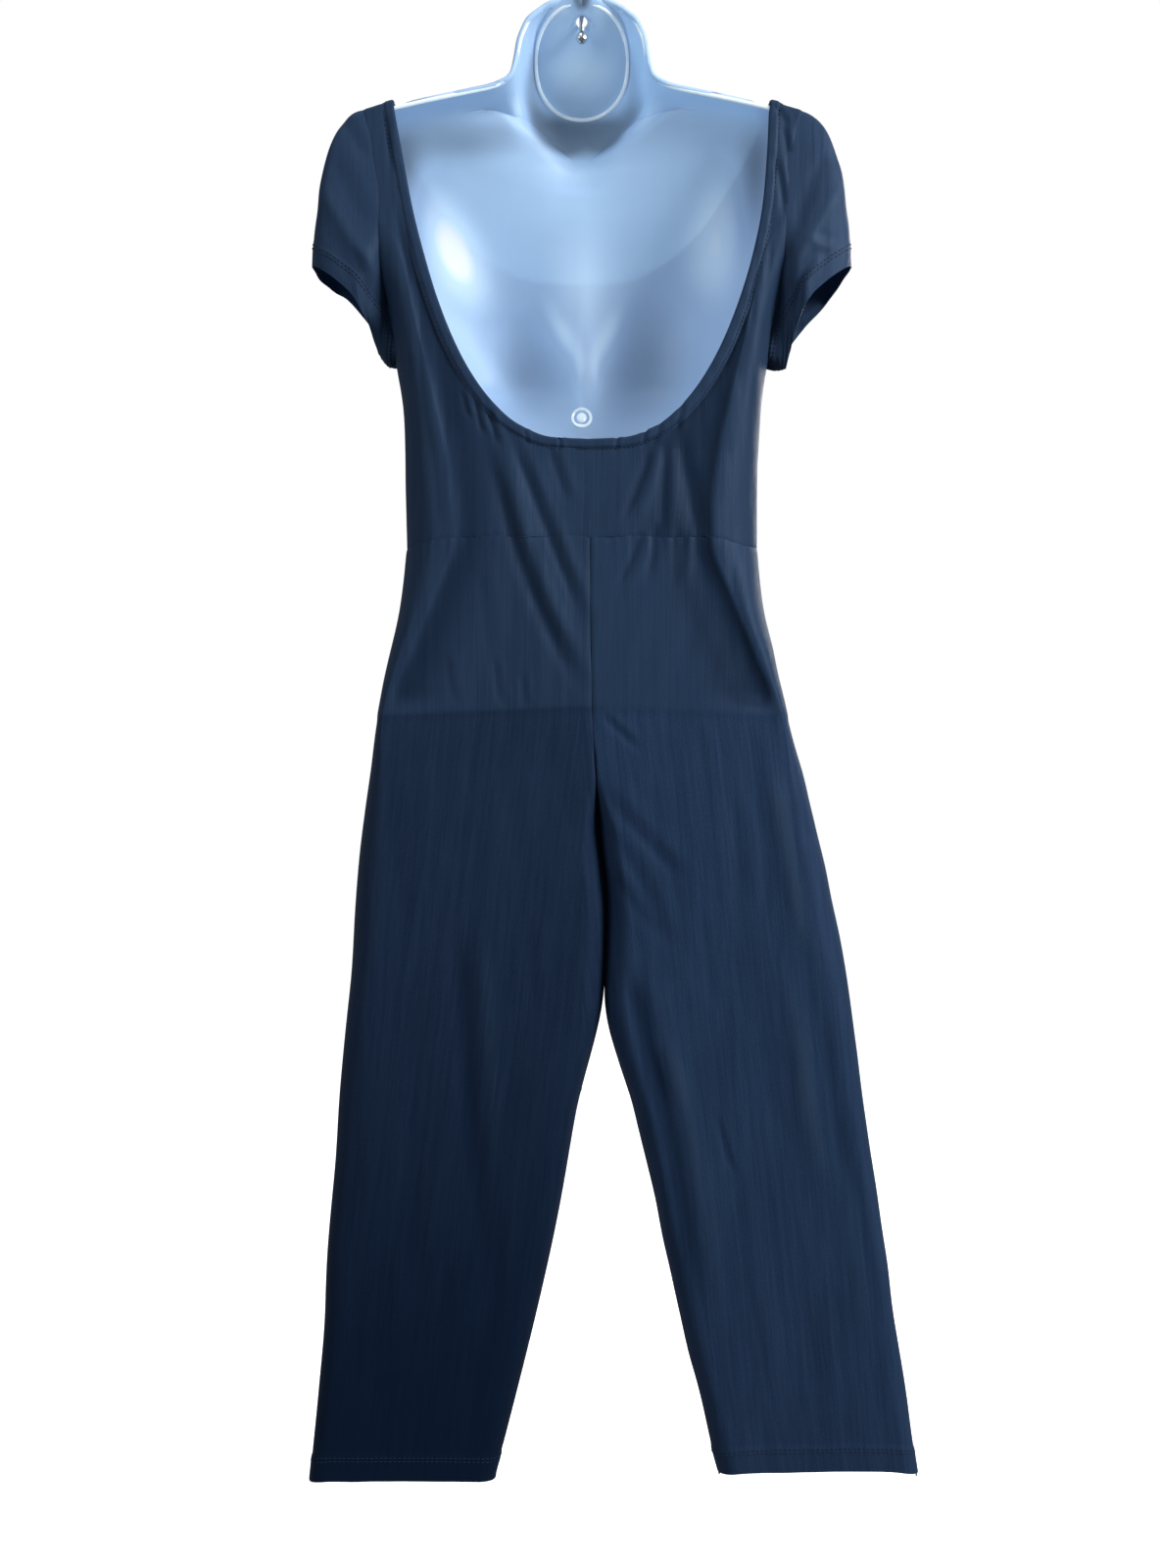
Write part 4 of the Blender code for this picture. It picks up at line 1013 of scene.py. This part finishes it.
SLEEVE_CREASES = {
    1: (
        (216, 296, 192, 248, 160, 206, 7.0, 1.5, 0.6),
        (208, 314, 190, 282, 172, 244, 7.0, -0.9, -0.5),
        (188, 236, 179, 214, 168, 184, 4.6, -1.3, -0.5),
        (200, 338, 186, 324, 176, 300, 5.5, -0.8, -0.5),
    ),
    -1: (
        (-216, 290, -191, 248, -166, 198, 6.5, 2.1, 0.7),
        (-208, 314, -188, 286, -174, 244, 6.5, -1.2, -0.5),
        (-210, 240, -196, 236, -184, 246, 4.0, 1.2, 0.5),
        (-190, 238, -179, 206, -170, 166, 4.6, -1.4, -0.5),
        (-200, 230, -188, 214, -178, 190, 3.6, 1.0, 0.4),
    ),
}


def armhole_loop(count):
    """Points round the left armhole: from the shoulder seam down the back and up the front."""
    line = edge_points(ARMHOLE, 160)[::-1]
    back = back_skin(back_across(line[:, 0], line[:, 1]), line[:, 1])
    top = over_shoulder(back[:1])[:, 0]
    front = front_skin(front_turn(line[:, 0], line[:, 1]), line[:, 1])[::-1]
    return evenly(np.concatenate([top[::-1], back, front, top[-1:]]), count)


def sleeve_skin(sign, around=180, rows=64):
    """The sleeve: from each armhole point, tucked a little under the bodice, a bend of three
    points by way of the pull to the hem: start (1-t)^2 + pull 2t(1-t) + hem t^2."""
    turn = np.linspace(0, 1, around)
    start = armhole_loop(around)
    pull = np.stack([read(SLEEVE, "pull_" + axis, turn, 1.0) for axis in "xyz"], axis=1)
    hem = np.stack([read(SLEEVE, "hem_" + axis, turn, 1.0) for axis in "xyz"], axis=1)
    if sign > 0:
        hem[:, 2] += LEFT_RAISE * smooth(turn, 0.34, 0.50) * (1 - smooth(turn, 0.80, 0.97))
    t = np.linspace(0, 1, rows)[:, None, None]
    out = pull - start
    start = start - out / np.linalg.norm(out, axis=1, keepdims=True) * SET_IN
    grid = start * (1 - t) ** 2 + pull * 2 * t * (1 - t) + hem * t * t
    grid[:, -1] = grid[:, 0]
    return grid * (sign, 1, 1)


sleeves = {}
for name, sign, seed in (("sleeve_left", 1, 51), ("sleeve_right", -1, 57)):
    grid = sleeve_skin(sign)
    x, z = grid[..., 0], grid[..., 2]
    to_hem = seam_distance(grid, "last_row")
    fold = creases(x, z, SLEEVE_CREASES[sign]) * smooth(grid[..., 1], -0.035, -0.015)
    lift = fold + ripple(x + grid[..., 1], z, seed, 0.09, 0.05, 0.0006)
    lift += groove(seam_distance(grid, "first_row"), 0.0006, 0.0020)
    lift += 0.0006 * smooth(SLEEVE_HEM - to_hem, -0.001, 0.001)
    lift += 0.0002 * np.sin(run_length(grid, 1) / 0.0042) * gauss(to_hem, 0.012)
    lift[:, -1] = lift[:, 0]
    sleeves[sign] = (grid, lift)
    laid, fold = lay(grid, np.array(ARM_MIDDLE) * (sign, 1, 1), lift, fold)
    sleeve = dress(surface(name + "_cloth", [laid], CLOTH, [fold]),
                   knit_sleeve_painted_light[sign], "knit", name)


# ---------------------------------------------------------------------------------------------
# The trousers: four panels, back and front of each leg, sewn at the side seams, the inseams and
# the seat seam, gathered slightly into the waist seam, with a turned hem sewn by two rows of
# stitching. Heights down to the fork have the seat seam as inner edge, and below it the inseam.
# ---------------------------------------------------------------------------------------------
LEGS = dict(
    columns=("z", "left", "right", "left_in", "right_in", "round_out", "round_front",
             "round_in", "back", "side", "front", "seat", "fork"),
    rows=(
        (0, 150.0, -150.0, -7, -7, 40, 150, 0, 2.5, -40, -85.5, 2.5, -85.5),
        (-50, 155.7, -155.7, -7, -7, 26, 155, 0, 2.5, -42, -93.5, 2.5, -93.5),
        (-100, 166.3, -166.3, -8, -8, 16, 166, 0, 2.5, -45, -97.5, 2.5, -97.5),
        (-130, 172.3, -172.3, -8.5, -8.5, 11, 172, 0, 2.5, -45, -93.5, 2.5, -93.5),
        (-150, 176.0, -177.0, -9, -9, 10, 174, 0, 2.3, -45, -89.5, 2.3, -89.5),
        (-200, 183.5, -192.0, -12, -12, 17, 130, 3, 0.5, -45, -86, -3, -84),
        (-250, 190.5, -204.3, -15.5, -15.5, 22, 90, 16, -3, -45, -82, -44, -46),
        (-320, 198.0, -221.0, -22, -22, 24, 60, 20, -8, -45, -78, -45, -45),
        (-390, 203.5, -233.5, -19, -20, 24, 46, 20, -12, -45, -75, -45, -45),
        (-500, 214.5, -250.3, 5, -47.6, 22, 36, 19, -17, -45, -71, -45, -45),
        (-610, 224.3, -267.0, 26, -72.4, 20, 28, 18, -21, -45, -68, -45, -45),
        (-720, 231.7, -284.4, 51, -97, 18, 23, 17, -25, -45, -65, -45, -45),
        (-822, 244.0, -300.5, 77, -124, 16, 18, 15, -28, -45, -61, -45, -45),
    ))
HEM = 0.023
LEG_MIDDLE = -0.045      # y of the middle of both legs
HEM_HEIGHT = {("back", "left"): -0.824, ("front", "left"): -0.822,
              ("back", "right"): -0.8165, ("front", "right"): -0.823}
HEM_WAVE = {("back", "right"): 0.0016}
HEM_DROOP = dict(side=0.006, inner=0.004)    # the hem hangs lower at its two seams


def leg_skin(side, face, columns, rows):
    """A trouser panel: each section is a quarter ellipse from the side seam, a straight run, and
    a quarter ellipse to the inner seam, with points spread evenly along it."""
    sign = 1 if side == "left" else -1
    bottom = HEM_HEIGHT[face, side]
    height = np.linspace(0, 1, rows)[:, None] * bottom
    out, end_x = read(LEGS, side, height), read(LEGS, side + "_in", height)
    plane, seam = read(LEGS, face, height), read(LEGS, "side", height)
    end_y = read(LEGS, "seat" if face == "back" else "fork", height)
    wide_in = np.maximum(read(LEGS, "round_in", height), 1e-6)
    wide_out = np.minimum(read(LEGS, "round_out" if face == "back" else "round_front", height),
                          np.abs(out - end_x) - wide_in)
    first, last = quarter(wide_out, plane - seam), quarter(wide_in, plane - end_y)
    straight = np.abs(out - end_x) - wide_out - wide_in
    run = np.linspace(0, 1, columns)[None, :] * (first + straight + last)
    bend_out = np.clip(run / first, 0, 1) * np.pi / 2
    bend_in = np.clip((run - first - straight) / np.maximum(last, 1e-6), 0, 1) * np.pi / 2
    flat = np.clip(run - first, 0, straight)
    x = out - sign * (wide_out * (1 - np.cos(bend_out)) + flat + wide_in * np.sin(bend_in))
    power = 1.0 if face == "back" else FRONT_SQUARE
    y = (seam + (plane - seam) * np.sin(bend_out) ** power
         - (plane - end_y) * (1 - np.cos(bend_in)))
    droop = HEM_DROOP["side"] * gauss(run, 0.018)
    droop = droop + HEM_DROOP["inner"] * gauss(first + straight + last - run, 0.016)
    wave = HEM_WAVE.get((face, side), 0.0) * np.sin(run * 21)
    z = height + (wave - droop) * smooth(-height, 0.72, 0.82)
    return np.stack([x, y, z], axis=-1)


panels = {}
for face, columns, rows, creased in (("back", 96, 300, BACK_CREASES),
                                     ("front", 72, 220, FRONT_CREASES)):
    for side, seed in (("left", 71), ("right", 83)):
        grid = dip(leg_skin(side, face, columns, rows))
        x, z = grid[..., 0], grid[..., 2]
        waist, to_hem = (seam_distance(grid, edge) for edge in ("first_row", "last_row"))
        hang = smooth(-z, 0.15, 0.30)
        fold = creases(x, z, creased)
        lift = ripple(x, z, seed, 0.30, 0.075, 0.0011) * hang
        lift += ripple(x, z, seed + 1, 0.16, 0.028, 0.00035) * hang
        lift += ripple(x, z, seed + 2, 0.10, 0.045, 0.00050) * (1 - hang)
        lift += pucker(x, waist, seed + 3, 0.0095, 0.016, 0.00035)
        if face == "back":
            sink, step = rim_pull(x, z)
            fold += sink
            lift += step
        lift += fold + groove(waist, 0.0002, 0.0010)
        lift += groove(seam_distance(grid, "first_column"), 0.0012)
        inner_seam = seam_distance(grid, "last_column")
        above = smooth(z, -0.175, -0.150)
        lift += groove(inner_seam, 0.0012, 0.0016) * above
        # Painted shade along the seat seam above the fork: this changes only the fold attribute,
        # and so only the colour.
        fold -= 0.0018 * gauss(inner_seam, 0.0012) * above
        lift += 0.0005 * gauss(inner_seam, 0.010) * smooth(-z, 0.175, 0.20)
        lift += 0.0006 * smooth(HEM - to_hem, -0.001, 0.001)
        lift += pucker(x, np.abs(to_hem - HEM), seed + 4, 0.0060, 0.007, 0.00025)
        panels[face, side] = (grid, lift)
        middle = (grid[rows // 2, columns // 2, 0], LEG_MIDDLE, grid[rows // 2, 0, 2])
        cloth = knit_left_painted_shade if side == "left" else knit_right_painted_light
        laid, fold = lay(grid, middle, lift, fold)
        panel = dress(surface(f"{face}_leg_{side}_cloth", [laid], CLOTH, [fold]),
                      cloth, "knit", f"{face}_leg_{side}")


# ---------------------------------------------------------------------------------------------
# Stitching: two rows round each hem and sleeve, and one row down the binding. Each stitch is a
# short bar of navy thread, sunk a little into the cloth.
# ---------------------------------------------------------------------------------------------
THREAD = 0.00036         # the thread's radius
PROUD = 0.00012          # a stitch's middle line stands this far off the cloth
STITCH = dict(           # the rings along a stitch: where each is, its girth and its bow
    along=np.array((-0.5, -0.36, 0.0, 0.36, 0.5)),
    girth=np.array((0.45, 0.95, 1.0, 0.95, 0.45)),
    bow=np.array((-0.6, 0.2, 0.5, 0.2, -0.6)))
SIDES = 6                # sides of a stitch
HEM_ROWS = (0.001, 0.0042)       # the two rows run this far below the top of the turned hem
CUFF_ROWS = (0.001, 0.0040)      # and this far below the top of the sleeve's hem


def turn_out(work):
    """Turns every face outwards."""
    bmesh.ops.recalc_face_normals(work, faces=work.faces)


def stitch_bars(path, normals, length, gap):
    """Bars along a path, as (stitch, ring, side) points: a stitch is a bar of SIDES sides, thin
    at both ends, bowed out of the cloth in its middle."""
    run = run_length(path[None], 1)[0]
    places = np.arange((length + gap) / 2, run[-1] - (length + gap) / 2, length + gap)
    at, out = sample(places, run, path), sample(places, run, normals)
    way = sample(places + 0.0005, run, path) - at
    way /= np.linalg.norm(way, axis=1, keepdims=True)
    side = np.cross(way, out)
    side /= np.linalg.norm(side, axis=1, keepdims=True)
    at, way, out, side = (line[:, None, None] for line in (at, way, out, side))
    along, girth, bow = (STITCH[key][:, None, None] for key in ("along", "girth", "bow"))
    turn = np.linspace(0, 2 * np.pi, SIDES + 1)[:-1, None]
    round_it = side * np.cos(turn) + out * np.sin(turn)
    return at + way * along * length + out * bow * THREAD + round_it * girth * THREAD


def bar_faces(bars, first):
    """The faces of bars whose points are numbered from first: their sides and their two ends."""
    count, rings = bars.shape[:2]
    index = first + np.arange(count * rings * SIDES).reshape(count, rings, SIDES)
    ahead = np.roll(index, -1, axis=2)
    sides = np.stack([index[:, 1:], ahead[:, 1:], ahead[:, :-1], index[:, :-1]], axis=-1)
    return sides.reshape(-1, 4).tolist() + index[:, 0].tolist() + index[:, -1, ::-1].tolist()


def stitches(name, rows, length=0.0030, gap=0.0011):
    """Stitches along rows, each given as its points and its outward normals, as one piece."""
    points, faces, first = [], [], 0
    for path, normals in rows:
        bars = stitch_bars(path, normals, length, gap)
        faces += bar_faces(bars, first)
        points.append(bars.reshape(-1, 3))
        first += len(points[-1])
    return mended(name, raw_mesh(name, np.concatenate(points), faces), turn_out)


def thread_finish():
    """Navy sewing thread: a touch lighter than the knit, with a fine twist along it."""
    material, shader, wire = finish("navy_thread", Sheen_Weight=0.02, Specular_IOR_Level=0.2)
    point, _ = wire.place()
    twist = wire.noise(point, 1800, 2)
    base = twist.tint((0.005, 0.013, 0.034, 1), (0.012, 0.026, 0.055, 1))
    feed(shader, {"Base Color": base, "Roughness": twist * 0.2 + 0.4})
    return material


thread = thread_finish()


def sewn_row(grid, lift, distance, middle_y=None):
    """The line on a laid piece at a distance above its hem, and its normals, which point away
    from the line's own middle, or from middle_y on a panel that goes only part of the way round."""
    away = seam_distance(grid, "last_row")
    row = np.argmin(np.abs(away - distance), axis=0)
    pick = np.arange(grid.shape[1])
    spot, lean = grid[row, pick], directions(grid)[row, pick]
    step = grid[np.minimum(row + 1, len(grid) - 1), pick] - spot
    size = np.maximum(np.linalg.norm(step, axis=1, keepdims=True), 1e-9)
    spot = spot + step / size * (away[row, pick] - distance)[:, None]
    middle = spot.mean(axis=0)
    if middle_y is not None:
        middle[1] = middle_y
    lean *= np.sign((lean * (spot - middle)).sum(1))[:, None]
    return spot + lean * (lift[row, pick][:, None] + PROUD), lean


hem_rows = [sewn_row(grid, lift, HEM - inset, LEG_MIDDLE)
            for grid, lift in panels.values() for inset in HEM_ROWS]
hem_stitches = dress(stitches("hem_stitches", hem_rows), thread, "knit")

cuff_rows = [sewn_row(grid, lift, SLEEVE_HEM - inset)
             for grid, lift in sleeves.values() for inset in CUFF_ROWS]
cuff_stitches = dress(stitches("sleeve_stitches", cuff_rows, 0.0026), thread, "knit")

dent = int(round(BAND["stitch"] * (band_grid.shape[1] - 1)))
band_row = (band_grid[:, dent] + band_normal * 0.0001, band_normal)
band_stitches = dress(stitches("binding_stitches", [band_row], 0.0026, 0.0010), thread, "knit")


# ---------------------------------------------------------------------------------------------
# The studio: a plain pale floor well below the hems, a pale surround, a large soft key on the
# wearer's right and behind, a weaker fill on the left, and a soft light on the front side.
# ---------------------------------------------------------------------------------------------
FLOOR = -1.62


def floor_finish():
    """Matt pale floor with the faintest mottling."""
    material, shader, wire = finish("pale_floor", Roughness=0.9, Specular_IOR_Level=0.1,
                                    Emission_Strength=0.95)
    point, _ = wire.place()
    base = wire.noise(point, 3, 3).tint((0.90, 0.90, 0.905, 1), (0.93, 0.93, 0.93, 1))
    feed(shader, {"Base Color": base, "Emission Color": base})
    return material


FLOOR_REACH = 40
reach = np.linspace(0.0, 1.0, 24)[:, None] ** 2 * FLOOR_REACH
around = np.linspace(0, 2 * np.pi, 97)
rings = np.stack([reach * np.cos(around), reach * np.sin(around), 0 * reach * around + FLOOR],
                 axis=-1)
floor = surface("floor", [rings - (0, BACK_REACH, -WAIST_DROP)])
floor.data.materials.append(floor_finish())
floor.visible_diffuse = False
floor.visible_glossy = False

world = bpy.data.worlds.new("surround")
world.use_nodes = True
wire = Wire(world.node_tree)
sky, seen = (wire.node("ShaderNodeBackground", sockets={"Color": colour, "Strength": strength})
             for colour, strength in (((0.96, 0.98, 1.0, 1), 0.15), ((1, 1, 1, 1), 1.0)))
to_camera = wire.node("ShaderNodeLightPath")
around_it = wire.node("ShaderNodeMixShader", sockets={0: to_camera, 1: sky, 2: seen})
wire.tree.links.new(around_it.socket, wire.tree.nodes["World Output"].inputs["Surface"])
bpy.context.scene.world = world


def soft_light(name, place, aim, size, power, colour=(1, 1, 1)):
    """A square soft light at a place, turned to face a point."""
    data = bpy.data.lights.new(name, "AREA")
    data.size = size
    data.energy = power
    data.color = colour
    lamp = bpy.data.objects.new(name, data)
    bpy.context.scene.collection.objects.link(lamp)
    lamp.location = place
    lamp.rotation_euler = (Vector(aim) - Vector(place)).to_track_quat("-Z", "Y").to_euler()


HIPS = (0, 0, -0.6)
soft_light("key", (-1.9, 1.25, 0.35), HIPS, 1.0, 78, (1.0, 0.99, 0.97))
soft_light("fill", (1.6, 1.6, -0.2), HIPS, 1.4, 14, (0.95, 0.98, 1.0))
soft_light("top", (0.2, 0.6, 1.2), (0, -0.05, -0.4), 1.2, 12)
soft_light("front", (-1.2, -2.0, 0.4), HIPS, 1.4, 34)


# ---------------------------------------------------------------------------------------------
# The camera: behind the garment and level with its hips, tipped down a little.
# ---------------------------------------------------------------------------------------------
TIP = np.radians(3.22)
view = bpy.data.cameras.new("camera")
view.sensor_fit = "AUTO"
view.sensor_width = 36
view.lens = 31.995
camera = bpy.data.objects.new("camera", view)
bpy.context.scene.collection.objects.link(camera)
camera.location = (0.0015, 1.179, -0.670)
ahead = Vector((0, -np.cos(TIP), -np.sin(TIP)))
camera.rotation_euler = ahead.to_track_quat("-Z", "Y").to_euler()
bpy.context.scene.camera = camera
bpy.context.scene.view_settings.view_transform = "Standard"
